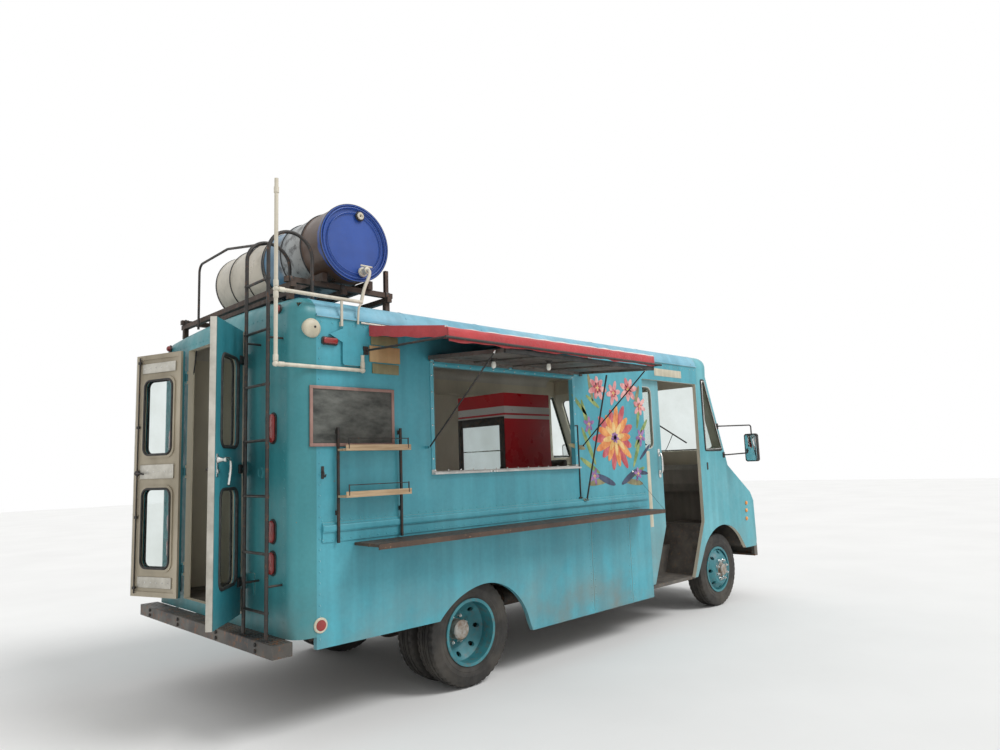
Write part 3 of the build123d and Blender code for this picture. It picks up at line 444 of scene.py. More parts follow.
rear_leaves = {}
for side, name, turn in ((-1, "right", radians(137)), (1, "left", radians(-160))):
    body = "rear_leaf_" + name
    along, through = Vector((-sin(turn), cos(turn), 0)), Vector((cos(turn), sin(turn), 0))
    hinge = Vector((-0.014, 0.06 + side * 0.55, 0))
    leaf = facing(hinge, along, (0, 0, 1))
    rear_leaves[name] = leaf
    # The leaf's paint: the outer skin is the rear's darker teal, painted shade; the inner half is cream
    made = enamel("leaf_shaded_enamel_" + name, (0.03, 0.22, 0.27), (0.055, 0.29, 0.34), dust=1.0, bare=0.67)
    tree = made.node_tree
    shader = tree.nodes["Principled BSDF"]
    outer = shader.inputs["Base Color"].links[0].from_socket
    place = put(tree, "TexCoord").outputs["Object"]
    depth = put(tree, "VectorMath", {0: place, 1: through}, operation="DOT_PRODUCT").outputs["Value"]
    inner = put(tree, "Math", {0: depth, 1: hinge.dot(through) + 0.034}, operation="GREATER_THAN").outputs[0]
    lining = steps(tree, grain(tree, 2.6, 6, (1, 1, 0.5)), (0.3, (0.27, 0.23, 0.16)), (0.7, (0.50, 0.44, 0.33)))
    tree.links.new(over(tree, inner, outer, lining), shader.inputs["Base Color"])
    dress(made, "rear_door_" + name)
    middle = -side * 0.27
    for low, high in ((0.985, 1.633), (1.925, 2.555)):
        for face, reach in ((0.0145, 0.012), (0.0545, 0.010)):
            bead = gasket(0.334, high - low + 0.004, 0.062, reach,
                          leaf @ Matrix.Translation((middle, (low + high) / 2, face)))
            keep(bead, f"pane_rubber_{name}_{low:.2f}_{face:.2f}".replace(".", "_"), body, rubber, 60)
    edge = [-side * 0.538, -side * 0.5475]
    channel = slab((min(edge), 0.751, 0.0125), (max(edge), 2.784, 0.0555), 0.0015, 2, leaf)
    keep(channel, "edge_channel_" + name, body, trim_metal)
    # Pressed border inside: a bar above, between and below the panes, with its screws
    for height, tall in ((2.665, 0.085), (1.779, 0.12), (0.868, 0.09)):
        bar = slab((middle - 0.20, height - tall / 2, 0.0435), (middle + 0.20, height + tall / 2, 0.0565), 0.004, 3,
                   leaf)
        keep(bar, f"inner_bar_{name}_{int(height * 100)}", body, trim_metal)
        heads = []
        for step in range(6):
            head = turned([(0.006, 0), (0.0055, 0.002), (0.003, 0.0035)],
                          leaf @ Matrix.Translation((middle - 0.17 + 0.068 * step, height, 0.0565)), 10)
            heads.append(head)
        keep(gather(heads), f"bar_screws_{name}_{int(height * 100)}", body, chrome)
    for height in (0.98, 1.77, 2.56):
        strap = slab((min(0, -side * 0.082), height - 0.032, 0.0015), (max(0, -side * 0.082), height + 0.032, 0.0145),
                     0.003, 2, leaf)
        bolts = [turned([(0.008, 0), (0.0075, 0.004), (0.004, 0.006)],
                        leaf @ Matrix.Translation((-side * u, height + w, 0.0015)) @ Matrix.Rotation(pi, 4, "X"), 6)
                 for u in (0.035, 0.062) for w in (-0.017, 0.017)]
        keep(gather([strap, *bolts]), f"hinge_strap_{name}_{int(height * 100)}", body, rubber)

# Lever handle on the right leaf's outer face, cast and chromed, on a long back plate
leaf = rear_leaves["right"]
back_plate = slab((0.488, 1.72, 0.008), (0.516, 1.872, 0.0142), 0.0028, 3, leaf)
boss = turned([(0.022, 0), (0.021, 0.012), (0.015, 0.018), (0.014, 0.04), (0.019, 0.046), (0.017, 0.058),
               (0.008, 0.062)],
              leaf @ Matrix.Translation((0.502, 1.832, 0.008)) @ Matrix.Rotation(pi, 4, "X"), 20)
grip = thread([leaf @ Vector(p) for p in ((0.502, 1.832, -0.042), (0.484, 1.842, -0.052), (0.452, 1.832, -0.056),
                                          (0.440, 1.79, -0.056), (0.452, 1.72, -0.055), (0.470, 1.665, -0.052))],
              0.0105, sides=5)
keep(gather([back_plate, boss, grip]), "rear_lever", "rear_leaf_right", chrome, 50)
lock = turned([(0.017, 0), (0.0165, 0.006), (0.012, 0.009), (0.006, 0.0092)],
              leaf @ Matrix.Translation((0.502, 1.755, 0.008)) @ Matrix.Rotation(pi, 4, "X"), 20)
keep(lock, "rear_lock", "rear_leaf_right", chrome)
# Bolt rods inside both leaves, with guides and a turn handle
for side, name in ((-1, "right"), (1, "left")):
    leaf = rear_leaves[name]
    u = -side * 0.495
    rod = thread([leaf @ Vector((u, z, 0.0635)) for z in (0.775, 1.2, 1.8, 2.4, 2.765)], 0.006, sides=3)
    guides = [slab((u - 0.016, z - 0.012, 0.054), (u + 0.016, z + 0.012, 0.0715), 0.003, 2, leaf)
              for z in (0.82, 1.40, 2.16, 2.72)]
    hub = turned([(0.024, 0), (0.023, 0.014), (0.012, 0.018), (0.011, 0.03), (0.005, 0.032)],
                 leaf @ Matrix.Translation((u, 1.77, 0.0545)), 18)
    arm = thread([leaf @ Vector(p) for p in ((u, 1.77, 0.082), (u + side * 0.05, 1.772, 0.088),
                                             (u + side * 0.11, 1.76, 0.088))], 0.007, sides=4)
    keep(gather([rod, *guides, hub, arm]), "bolt_rod_" + name, "rear_leaf_" + name, black_iron, 45)

# Doorway: cream channel round the opening and a rubber seal.
frame_paint = enamel("cream_frame_enamel", (0.50, 0.45, 0.34), (0.62, 0.57, 0.44), bare=0.64)
bars = []
# A base strip on the wall's inner face and a lip over it that laps the opening
for x, wide, low in ((0.0398, 0.030, 2.815), (0.0458, 0.0575, 2.788)):
    bars += [slab((x, y - 0.002, 0.745), (x + 0.006, y + wide, 2.84), 0.0015, 2) for y in (-0.545, 0.665 - wide)]
    bars.append(slab((x, -0.545, low), (x + 0.006, 0.665, 2.84), 0.0015, 2))
keep(gather(bars), "doorway_channel", "truck", frame_paint)
corners = ((-0.502, 0.76), (-0.502, 2.802), (0.622, 2.802), (0.622, 0.76))
seal = thread([(0.0465, y, z) for y, z in corners], 0.006, order=2, sides=2)
keep(seal, "doorway_seal", "truck", rubber, 60)

# Rear lamps: oval tail lamps in black rubber rims, marker lamps on the header,
# a round cap and a small cover plate on the right, a blank number plate on the left leaf's side.
lens_red, tree, shader = blank("red_lamp_lens")
skin(tree, shader, steps(tree, grain(tree, 8, 4), (0.3, (0.17, 0.012, 0.010)), (0.7, (0.30, 0.02, 0.015))),
     steps(tree, grain(tree, 12), (0.3, 0.12), (0.7, 0.32)), grain(tree, 420, 1), 0.0008)
shader.inputs["Coat Weight"].default_value = 0.5
lens_amber, tree, shader = blank("amber_lamp_lens")
skin(tree, shader, steps(tree, grain(tree, 8, 4), (0.3, (0.75, 0.22, 0.02)), (0.7, (0.85, 0.32, 0.05))),
     steps(tree, grain(tree, 12), (0.3, 0.12), (0.7, 0.3)), grain(tree, 420, 1), 0.0008)
shader.inputs["Coat Weight"].default_value = 0.5
for side, y in (("r", -0.91), ("l", 0.91)):
    for z, tall in ((2.04, 0.20), (1.34, 0.15), (1.13, 0.15)):
        at = on_rear(y, z)
        base = plate(0.098, tall + 0.02, 0.047, 0.008, at, 0.003)
        keep(base, f"tail_base_{side}_{int(z * 100)}", "truck", rubber, 50)
        lens = plate(0.078, tall, 0.038, 0.022, at @ Matrix.Translation((0, 0, 0.006)), 0.009)
        keep(lens, f"tail_lens_{side}_{int(z * 100)}", "truck", lens_red, 50)
for y in (-0.985, 0.06, 1.02):
    lamp_at = on_rear(y, 2.865)
    base = turned([(0.034, 0), (0.033, 0.008), (0.027, 0.012)], lamp_at, 24)
    dome = turned([(0.027, 0.010), (0.025, 0.022), (0.019, 0.031), (0.010, 0.036), (0.003, 0.0375)], lamp_at, 24)
    keep(base, f"header_lamp_base_{int((y + 2) * 100)}", "truck", rubber)
    keep(dome, f"header_lamp_{int((y + 2) * 100)}", "truck", lens_red)
cap = turned([(0.042, 0), (0.041, 0.008), (0.034, 0.013), (0.030, 0.013), (0.028, 0.010), (0.012, 0.009)],
             on_rear(-0.735, 1.74), 28)
keep(cap, "rear_round_cap", "truck", rear_shaded_enamel)
cover = plate(0.10, 0.15, 0.012, 0.010, on_rear(-0.60, 0.97), 0.003)
keep(cover, "rear_cover_plate", "truck", rear_shaded_enamel)
number = plate(0.31, 0.16, 0.012, 0.003, on_rear(0.84, 0.87, 0.003), 0.0008)
plate_white = enamel("blank_plate_paint", (0.55, 0.54, 0.50), (0.66, 0.65, 0.61), bare=0.66, fine=3)
keep(number, "blank_number_plate", "truck", plate_white)

# Step bumper: a folded steel channel, painted dark and chipped to rust,
# with raised grip bars; the front bumper is its plain twin.
bumper_paint = enamel("bumper_paint", (0.020, 0.021, 0.022), (0.05, 0.05, 0.05), (0.14, 0.06, 0.025), bare=0.55,
                      gloss=0.4, dust=1.0)
dress(bumper_paint, "bumpers")
ribs = [slab((0.026 * row - 0.135, -1.15, 0.6565), (0.026 * row - 0.125, 1.15, 0.6615), 0.0015, 2)
        for row in range(5)]
keep(gather(ribs), "step_grip_bars", "truck", bumper_paint)
bolts = [turned([(0.014, 0), (0.0135, 0.008), (0.009, 0.011), (0.004, 0.0115)],
                facing((-0.142, y, z), (0, -1, 0), upright), 6)
         for y in (-0.95, -0.35, 0.35, 0.95) for z in (0.595, 0.635)]
keep(gather(bolts), "step_bolts", "truck", black_iron)
bolts = [turned([(0.016, 0), (0.015, 0.008), (0.009, 0.012), (0.004, 0.0125)], on_front(y, z, 6.5085), 12)
         for y in (-0.42, 0.42) for z in (0.53, 0.59)]
keep(gather(bolts), "front_bumper_bolts", "truck", chrome)

# Roof: formed sheets with a welded bead at each bow.
def roof_height(y):
    """Height of the roof's outer skin over a place across it."""
    if abs(y) <= 1.055:
        return 2.985 - 0.036 * y * y
    return 2.80 + max(0.145 ** 2 - (abs(y) - 1.055) ** 2, 0) ** 0.5


beads = [thread([(x, y / 100, roof_height(y / 100) - 0.001) for y in range(-118, 119, 4)], 0.0055, sides=2)
         for x in (0.165, 0.95, 1.75, 2.55, 3.35, 4.15, 5.19)]
keep(gather(beads), "roof_seams", "truck", roof_enamel, 50)

# Ladder and rack: welded round tube and flat iron, brushed black and rusting at the welds;
# the rack is square timber and angle iron strapped over the roof.
dress(black_iron, "ladder", "awning_frame", "stay_front", "stay_rear", "hatch_prop", "side_shelves")
rack_finish = enamel("rack_stain", (0.035, 0.021, 0.014), (0.075, 0.043, 0.027), (0.16, 0.07, 0.03), bare=0.6,
                     gloss=0.55, fine=2)
dress(rack_finish, "roof_rack")
welds = [turned([(0.0150, -0.009), (0.0162, -0.004), (0.0162, 0.004), (0.0150, 0.009)],
                Matrix.Translation((-0.11, y, z)), 14)
         for z in (0.833, 1.208, 1.583, 1.953, 2.331, 2.706, 3.06) for y in (-1.035, -0.71)]
keep(gather(welds), "ladder_welds", "truck", black_iron)
shoes = [slab((-0.142, y - 0.03, 0.6585), (-0.072, y + 0.03, 0.6645), 0.002) for y in (-1.035, -0.71)]
keep(gather(shoes), "ladder_shoes", "truck", black_iron)
clamps = []
for y in (-0.95, 0.95):
    for x in (0.10, 0.52, 0.93):
        clamps.append(slab((x - 0.018, y - 0.028, 3.0785), (x + 0.018, y + 0.028, 3.1225), 0.003))
        clamps.append(turned([(0.009, 0), (0.0085, 0.006), (0.005, 0.008)], Matrix.Translation((x, y, 3.1225)), 6))
keep(gather(clamps), "rack_clamps", "truck", black_iron)

# Drums: two plastic barrels end to end on the rack, one blue with a browned body,
# one cream, each with black hoops; the bungs are in the blue one's head.
drum_paint, tree, shader = blank("barrel_plastics")
place = put(tree, "TexCoord").outputs["Object"]
ragged = put(tree, "Math", {0: grain(tree, 5, 5), 1: 0.10}, operation="MULTIPLY").outputs[0]
height = put(tree, "SeparateXYZ", {0: place}).outputs["Y"]
height = put(tree, "Math", {0: height, 1: ragged}, operation="ADD").outputs[0]
length = put(tree, "MapRange", {"Value": height, "From Min": -1.06, "From Max": 0.75}).outputs["Result"]
tone = steps(tree, length, (0.028, (0.022, 0.075, 0.33)), (0.034, (0.075, 0.040, 0.024)), (0.165, (0.10, 0.055, 0.034)),
             (0.185, (0.36, 0.37, 0.36)), (0.34, (0.30, 0.33, 0.34)), (0.37, (0.075, 0.19, 0.30)),
             (0.495, (0.09, 0.22, 0.34)), (0.503, (0.52, 0.47, 0.38)), (1.0, (0.58, 0.54, 0.45)))
smears = steps(tree, grain(tree, 9, 6, rough=0.7), (0.50, 0.0), (0.60, 0.85))
band = steps(tree, length, (0.17, 0.0), (0.20, 1.0), (0.36, 1.0), (0.39, 0.15))
tone = over(tree, put(tree, "Math", {0: smears, 1: band}, operation="MULTIPLY").outputs[0], tone, (0.02, 0.02, 0.022))
grime = steps(tree, grain(tree, 3.4, 6), (0.45, 1.0), (0.75, 0.62))
tone = over(tree, 0.8, tone, grime, "MULTIPLY")
flat_place = put(tree, "VectorMath", {0: place, 1: (1, 0, 1)}, operation="MULTIPLY").outputs[0]
reach = put(tree, "VectorMath", {0: flat_place, 1: (0.55, 0, 3.421)}, operation="DISTANCE").outputs["Value"]
hoop = put(tree, "Math", {0: reach, 1: 0.2925}, operation="GREATER_THAN").outputs[0]
tone = over(tree, hoop, tone, (0.014, 0.014, 0.016))
skin(tree, shader, tone, steps(tree, grain(tree, 6, 5), (0.3, 0.24), (0.75, 0.5)), grain(tree, 3.5, 2), 0.006)
dress(drum_paint, "drums")
pale_plastic = enamel("weathered_pipe_plastic", (0.60, 0.55, 0.44), (0.70, 0.66, 0.55), (0.34, 0.27, 0.18), bare=0.66,
                      gloss=0.38, fine=3)
blue_plastic = enamel("blue_barrel_plastic", (0.022, 0.075, 0.33), (0.03, 0.10, 0.38), (0.02, 0.05, 0.2), bare=0.7,
                      gloss=0.24, fine=2)
dress(pale_plastic, "water_pipe")
# Moulded rings on the near head, a white bung in a black ring above, a tap below
rings = []
head_at = facing((0.55, -1.0995, 3.421), (1, 0, 0), upright)
for radius, tube in ((0.272, 0.006), (0.235, 0.0045)):
    line = [head_at @ Vector((radius * cos(a * pi / 12), radius * sin(a * pi / 12), 0)) for a in range(24)]
    rings.append(thread(line, tube, cyclic=True, sides=2))
keep(gather(rings), "drum_head_rings", "truck", blue_plastic, 60)
bung_at = facing((0.59, -1.0995, 3.636), (1, 0, 0), upright)
ring = turned([(0.038, -0.002), (0.038, 0.006), (0.033, 0.011), (0.029, 0.011)], bung_at, 28)
keep(ring, "bung_ring", "truck", rubber)
bung = turned([(0.028, 0.006), (0.028, 0.016), (0.024, 0.019), (0.015, 0.019), (0.014, 0.012), (0.006, 0.011)],
              bung_at, 28)
keep(bung, "white_bung", "truck", pale_plastic)
tap_at = facing((0.61, -1.0995, 3.206), (1, 0, 0), upright)
tap = turned([(0.038, 0), (0.036, 0.014), (0.024, 0.018), (0.022, 0.050), (0.026, 0.054), (0.026, 0.068),
              (0.014, 0.072)], tap_at, 24)
handle = slab((-0.052, 0.026, 0.046), (0.052, 0.040, 0.060), 0.005, 3, tap_at)
stem = turned([(0.010, 0), (0.010, 0.03)],
              tap_at @ Matrix.Translation((0, 0.005, 0.053)) @ Matrix.Rotation(-pi / 2, 4, "X"), 12)
keep(gather([tap, handle, stem]), "drum_tap", "truck", pale_plastic, 50)
spout = thread([(0.610, -1.165, 3.205), (0.602, -1.205, 3.200), (0.590, -1.222, 3.150), (0.545, -1.224, 3.06),
                (0.522, -1.222, 2.975), (0.515, -1.222, 2.93)], 0.0125, sides=5)
tail = thread([(0.515, -1.222, 2.93), (0.496, -1.2215, 2.905), (0.490, -1.219, 2.86), (0.489, -1.2165, 2.775)], 0.008,
              sides=4)
keep(gather([spout, tail]), "tap_pipe", "truck", pale_plastic, 60)
# Glued couplings and elbows on the pipe.
sockets = [facing((-0.132, -1.222, z), (0, 1, 0), upright) for z in (2.44, 2.94)]
sockets += [Matrix.Translation((x, -1.222, z))
            for x, z in ((-0.15, 2.458), (-0.15, 2.958), (-0.15, 2.88), (0.52, 2.458))]
couplings = [turned([(0.0165, 0), (0.0172, 0.002), (0.0172, 0.040), (0.0165, 0.042)], at, 20) for at in sockets]
keep(gather(couplings), "pipe_couplings", "truck", pale_plastic)

# Right wall fittings: a cream dome lamp and a red marker by the corner, a hand-cut teal bracket
# plate, three blank boards one under another, a framed slate, a reflector and a hook.
cream_paint = enamel("yellowed_cream_enamel", (0.55, 0.50, 0.37), (0.66, 0.61, 0.48), bare=0.68, fine=4)
dome = turned([(0.066, -0.030), (0.068, 0.004), (0.064, 0.012), (0.052, 0.021), (0.034, 0.028), (0.014, 0.031)],
              on_right(0.125, 2.71), 32)
keep(dome, "dome_lamp", "truck", cream_paint, 60)
screw = turned([(0.009, 0), (0.008, 0.004), (0.004, 0.005)], on_right(0.135, 2.715, 0.0300), 12)
keep(screw, "dome_screw", "truck", black_iron)
base = plate(0.128, 0.058, 0.016, 0.012, on_right(0.262, 2.632), 0.004)
keep(base, "side_marker_base", "truck", rubber, 50)
lens = plate(0.110, 0.042, 0.012, 0.022, on_right(0.262, 2.632, 0.008), 0.008)
keep(lens, "side_marker_lens", "truck", lens_red, 50)
cut = rounded(0.15, 0.28, 0.02)
bpy.ops.object.mode_set(mode="EDIT")
bpy.ops.mesh.select_all(action="SELECT")
bpy.ops.mesh.extrude_region_move(TRANSFORM_OT_translate={"value": (0, 0, 0.016)})
for level in (-0.08, -0.03, 0.02, 0.07):
    bpy.ops.mesh.select_all(action="SELECT")
    bpy.ops.mesh.bisect(plane_co=(0, level, 0), plane_no=(0, 1, 0))
bpy.ops.object.mode_set(mode="OBJECT")
for level, shift in ((0.14, -0.055), (0.07, -0.048), (0.02, -0.022), (-0.03, 0.004), (-0.08, 0.016)):
    for point in cut.data.vertices:
        point.select = point.co.x > 0 and abs(point.co.y - level) < (0.026 if abs(level) > 0.1 else 0.002)
    bpy.ops.object.mode_set(mode="EDIT")
    bpy.ops.mesh.select_mode(type="VERT")
    bpy.ops.transform.translate(value=(shift, 0, 0))
    bpy.ops.object.mode_set(mode="OBJECT")
cut.data.transform(on_right(0.435, 2.61, 0.004))
keep(cut, "bracket_plate", "truck", body_enamel, 30)
board_olive = enamel("olive_board", (0.20, 0.19, 0.09), (0.30, 0.27, 0.15), (0.2, 0.13, 0.06), bare=0.62, gloss=0.5,
                     fine=3)
board_card = enamel("brown_card", (0.42, 0.27, 0.12), (0.52, 0.36, 0.19), (0.26, 0.16, 0.08), bare=0.68, gloss=0.75,
                    fine=3)
for label, low, high, left, right, made in (("upper", 2.640, 2.712, 0.605, 0.845, board_olive),
                                            ("middle", 2.512, 2.632, 0.590, 0.862, board_card),
                                            ("lower", 2.428, 2.502, 0.615, 0.850, board_olive)):
    sign = plate(right - left, high - low, 0.006, 0.010, on_right((left + right) / 2, (low + high) / 2, 0.002), 0.002)
    keep(sign, f"blank_board_{label}", "truck", made)
slate, tree, shader = blank("wiped_slate")
cloud = steps(tree, grain(tree, 5, 7, (1, 1, 2.2), 0.62), (0.36, (0.035, 0.038, 0.034)), (0.66, (0.14, 0.145, 0.13)))
skin(tree, shader, cloud, steps(tree, grain(tree, 12), (0.3, 0.7), (0.7, 0.9)), grain(tree, 90, 3), 0.0006)
sheet = plate(0.668, 0.388, 0.002, 0.006, on_right(0.452, 2.108, 0.003), 0.001)
keep(sheet, "slate_panel", "truck", slate)
pink_wood = enamel("pink_brown_frame", (0.30, 0.17, 0.14), (0.42, 0.27, 0.23), (0.12, 0.07, 0.05), bare=0.64, gloss=0.5,
                   fine=4)
strips = [slab((0.104, -1.2165, z - 0.011), (0.800, -1.2025, z + 0.011), 0.003) for z in (1.911, 2.304)]
strips += [slab((x - 0.011, -1.2160, 1.900), (x + 0.011, -1.2030, 2.315), 0.003) for x in (0.116, 0.789)]
keep(gather(strips), "slate_frame", "truck", pink_wood)
disc = turned([(0.050, -0.004), (0.050, 0.006), (0.045, 0.010), (0.036, 0.010)], on_right(0.187, 0.731), 28)
keep(disc, "reflector_ring", "truck", cream_paint)
lens = turned([(0.036, 0.006), (0.035, 0.013), (0.026, 0.016), (0.010, 0.017)], on_right(0.187, 0.731), 28)
keep(lens, "reflector_lens", "truck", lens_red)
hook = thread([(0.205, -1.2, 1.735), (0.205, -1.219, 1.733), (0.205, -1.222, 1.705), (0.205, -1.236, 1.690),
               (0.205, -1.246, 1.712)], 0.0045, sides=3)
hook_plate = plate(0.022, 0.085, 0.004, 0.004, on_right(0.205, 1.725), 0.001)
keep(gather([hook, hook_plate]), "wall_hook", "truck", black_iron, 60)

# Painted panel: loose hand-painted blossoms and leaves on the wall in front of the cab door,
# laid in brush strokes one over another, thinning out into the turquoise.
def pigment(name, deep, light, stroke=0.5):
    """Thick brushed paint between two tones."""
    made, tree, shader = blank(name)
    tone = steps(tree, grain(tree, 16, 4, (1, 1, stroke), 0.6), (0.38, deep), (0.62, light))
    fleck = steps(tree, grain(tree, 60, 4), (0.35, 0.82), (0.7, 1.0))
    skin(tree, shader, over(tree, 0.8, tone, fleck, "MULTIPLY"), steps(tree, grain(tree, 20), (0.3, 0.45), (0.7, 0.7)),
         grain(tree, 90, 3, (1, 1, 0.3)), 0.0008)
    return made


calm()
bpy.ops.mesh.primitive_circle_add(vertices=14, radius=0.5, fill_type="NGON", location=(0, 0.5, 0))
petal = bpy.context.object
bpy.ops.object.transform_apply(location=True, rotation=True, scale=True)
for point in petal.data.vertices:
    point.select = point.co.y < 0.45
bpy.ops.object.mode_set(mode="EDIT")
bpy.ops.mesh.select_mode(type="VERT")
bpy.ops.transform.resize(value=(0.55, 1, 1), center_override=(0, 0, 0))
bpy.ops.object.mode_set(mode="OBJECT")


def daubs(name, material, marks):
    """Petals and leaves of one colour; each mark is its root x, z, length, width, angle and layer."""
    made = []
    for x, z, long, wide, angle, layer in marks:
        copy = bpy.data.objects.new(name, petal.data.copy())
        bpy.context.collection.objects.link(copy)
        copy.data.transform(on_right(x, z, 0.0005 + 0.00035 * layer) @ Matrix.Rotation(radians(angle), 4, "Z")
                            @ Matrix.Diagonal((wide, long, 1, 1)))
        made.append(copy)
    piece = gather(made)
    thick = piece.modifiers.new("coat", "SOLIDIFY")
    thick.thickness = 0.0006
    thick.offset = 1
    bpy.ops.object.modifier_apply(modifier="coat")
    return keep(piece, name, "truck", material, 20)


def ring_of(x, z, count, long, wide, layer, start=0.0, inner=0.0):
    """Marks of one ring of petals."""
    marks = []
    for step in range(count):
        angle = start + 360 * step / count
        marks.append((x - inner * sin(radians(angle)), z + inner * cos(radians(angle)),
                      long * (1 + 0.12 * (step % 3 - 1)), wide, angle, layer))
    return marks


leaf_green = pigment("leaf_green_paint", (0.12, 0.22, 0.06), (0.35, 0.42, 0.14))
olive_stroke = pigment("olive_paint", (0.16, 0.14, 0.07), (0.30, 0.28, 0.14))
orange_paint = pigment("orange_paint", (0.60, 0.16, 0.04), (0.80, 0.38, 0.12))
ochre_paint = pigment("ochre_paint", (0.62, 0.36, 0.10), (0.82, 0.58, 0.26))
pink_paint = pigment("pink_paint", (0.55, 0.17, 0.18), (0.80, 0.45, 0.42))
rose_paint = pigment("rose_paint", (0.42, 0.05, 0.07), (0.62, 0.16, 0.16))
violet_paint = pigment("violet_paint", (0.18, 0.07, 0.22), (0.38, 0.20, 0.42))
ink_paint = pigment("ink_blue_paint", (0.02, 0.03, 0.07), (0.06, 0.09, 0.16))
daubs("painted_leaves", leaf_green,
      [(3.20, 1.70, 0.42, 0.10, 28, 0), (3.26, 1.62, 0.34, 0.09, 62, 0), (3.14, 1.96, 0.40, 0.10, 18, 0),
       (3.10, 2.18, 0.30, 0.08, 48, 0), (3.82, 1.66, 0.44, 0.10, -26, 0), (3.86, 1.86, 0.40, 0.10, -40, 0),
       (3.92, 2.06, 0.30, 0.09, -14, 0), (3.74, 1.56, 0.30, 0.09, -70, 0), (3.30, 2.26, 0.24, 0.08, 60, 0)])
daubs("painted_shade_leaves", olive_stroke,
      [(3.42, 1.56, 0.36, 0.11, 96, 0), (3.64, 1.54, 0.34, 0.11, -98, 0), (3.20, 2.32, 0.28, 0.10, 12, 0),
       (3.90, 2.28, 0.26, 0.10, -22, 0), (3.05, 1.86, 0.26, 0.08, 80, 0)])
daubs("painted_ink_leaves", ink_paint,
      [(3.50, 1.50, 0.32, 0.12, 70, 1), (3.60, 1.50, 0.34, 0.12, -64, 1), (3.84, 1.62, 0.24, 0.08, -96, 1),
       (3.94, 1.74, 0.26, 0.07, -52, 1)])
daubs("painted_big_back_petals", rose_paint, ring_of(3.53, 1.97, 9, 0.33, 0.17, 1, 12))
daubs("painted_big_petals", orange_paint, ring_of(3.53, 1.97, 9, 0.30, 0.15, 2, 32))
daubs("painted_big_heart_petals", ochre_paint, ring_of(3.53, 1.97, 8, 0.18, 0.10, 3, 8))
daubs("painted_big_heart", violet_paint, ring_of(3.53, 1.97, 7, 0.062, 0.06, 4, 0))
daubs("painted_roses", pink_paint,
      ring_of(3.28, 2.46, 7, 0.135, 0.11, 2, 5) + ring_of(3.80, 2.47, 7, 0.145, 0.115, 2, 20)
      + ring_of(3.54, 2.42, 6, 0.12, 0.10, 3, 40) + ring_of(3.99, 2.30, 6, 0.11, 0.09, 2, 10))
daubs("painted_rose_hearts", rose_paint,
      ring_of(3.28, 2.46, 5, 0.062, 0.05, 3, 0) + ring_of(3.80, 2.47, 5, 0.068, 0.055, 3, 0)
      + ring_of(3.54, 2.42, 5, 0.055, 0.045, 4, 0) + ring_of(3.99, 2.30, 5, 0.05, 0.04, 3, 0))
daubs("painted_rose_eyes", ochre_paint,
      ring_of(3.28, 2.46, 4, 0.030, 0.026, 4, 0) + ring_of(3.80, 2.47, 4, 0.032, 0.028, 4, 0)
      + ring_of(3.54, 2.42, 4, 0.026, 0.024, 5, 0) + ring_of(3.99, 2.30, 4, 0.024, 0.02, 4, 0))
daubs("painted_violets", violet_paint,
      ring_of(3.12, 2.10, 5, 0.085, 0.07, 2, 0) + ring_of(3.98, 1.98, 5, 0.095, 0.075, 2, 30)
      + ring_of(3.90, 1.60, 5, 0.075, 0.06, 2, 10) + ring_of(3.17, 1.60, 5, 0.08, 0.065, 2, 50))
daubs("painted_violet_eyes", ochre_paint,
      ring_of(3.12, 2.10, 4, 0.026, 0.022, 3, 0) + ring_of(3.98, 1.98, 4, 0.028, 0.024, 3, 0)
      + ring_of(3.90, 1.60, 4, 0.022, 0.02, 3, 0) + ring_of(3.17, 1.60, 4, 0.024, 0.02, 3, 0))
bpy.data.objects.remove(petal)


# Serving window: an aluminium frame screwed round the opening, its sill folded outward,
# with a sliding bolt, a black iron latch frame beside it, and a wire grid at the far window.
sill_paint, tree, shader = blank("painted_flange_bare_sill")
level = put(tree, "SeparateXYZ", {0: put(tree, "TexCoord").outputs["Object"]}).outputs["Z"]
flange = put(tree, "Math", {0: level, 1: 1.716}, operation="GREATER_THAN").outputs[0]
bare = steps(tree, grain(tree, 9, 5), (0.35, (0.58, 0.57, 0.54)), (0.7, (0.36, 0.35, 0.33)))
teal = steps(tree, grain(tree, 2, 5), (0.35, (0.055, 0.33, 0.41)), (0.7, (0.12, 0.42, 0.50)))
skin(tree, shader, over(tree, flange, bare, teal), steps(tree, grain(tree, 14, 5), (0.3, 0.32), (0.7, 0.5)),
     grain(tree, 40, 4), 0.0006)
dress(sill_paint, "window_frame")
spots = [(1.19 + 1.70 * step / 13, z) for z in (1.709, 2.539) for step in range(14)]
spots += [(x, 1.80 + 0.13 * step) for x in (1.168, 2.912) for step in range(6)]
heads = [turned([(0.0065, 0), (0.006, 0.002), (0.003, 0.0035)], on_right(x, z, 0.0053), 8) for x, z in spots]
keep(gather(heads), "window_screws", "truck", chrome)
bolt = slab((1.735, -1.2490, 1.6805), (1.815, -1.2440, 1.6935), 0.002)
knob = turned([(0.006, 0), (0.005, 0.010), (0.008, 0.013), (0.007, 0.019), (0.003, 0.021)],
              on_right(1.762, 1.687, 0.049), 14)
staple = thread([(1.80, -1.2485, 1.692), (1.80, -1.2545, 1.692), (1.80, -1.2545, 1.682), (1.80, -1.2485, 1.682)], 0.002)
keep(gather([bolt, knob, staple]), "sill_bolt", "truck", chrome)
arm = slab((2.895, -1.2100, 2.074), (2.945, -1.2054, 2.086), 0.0015)
post = slab((2.933, -1.2100, 1.410), (2.945, -1.1998, 2.086), 0.002)
foot = slab((2.915, -1.2090, 1.398), (2.962, -1.1998, 1.412), 0.002)
keep(gather([arm, post, foot]), "latch_frame", "truck", black_iron)
wires = [thread([(x, 1.148, 1.77), (x, 1.1465, 2.05), (x, 1.148, 2.33)], 0.0028, sides=1)
         for x in [1.53 + 0.0725 * n for n in range(14)]]
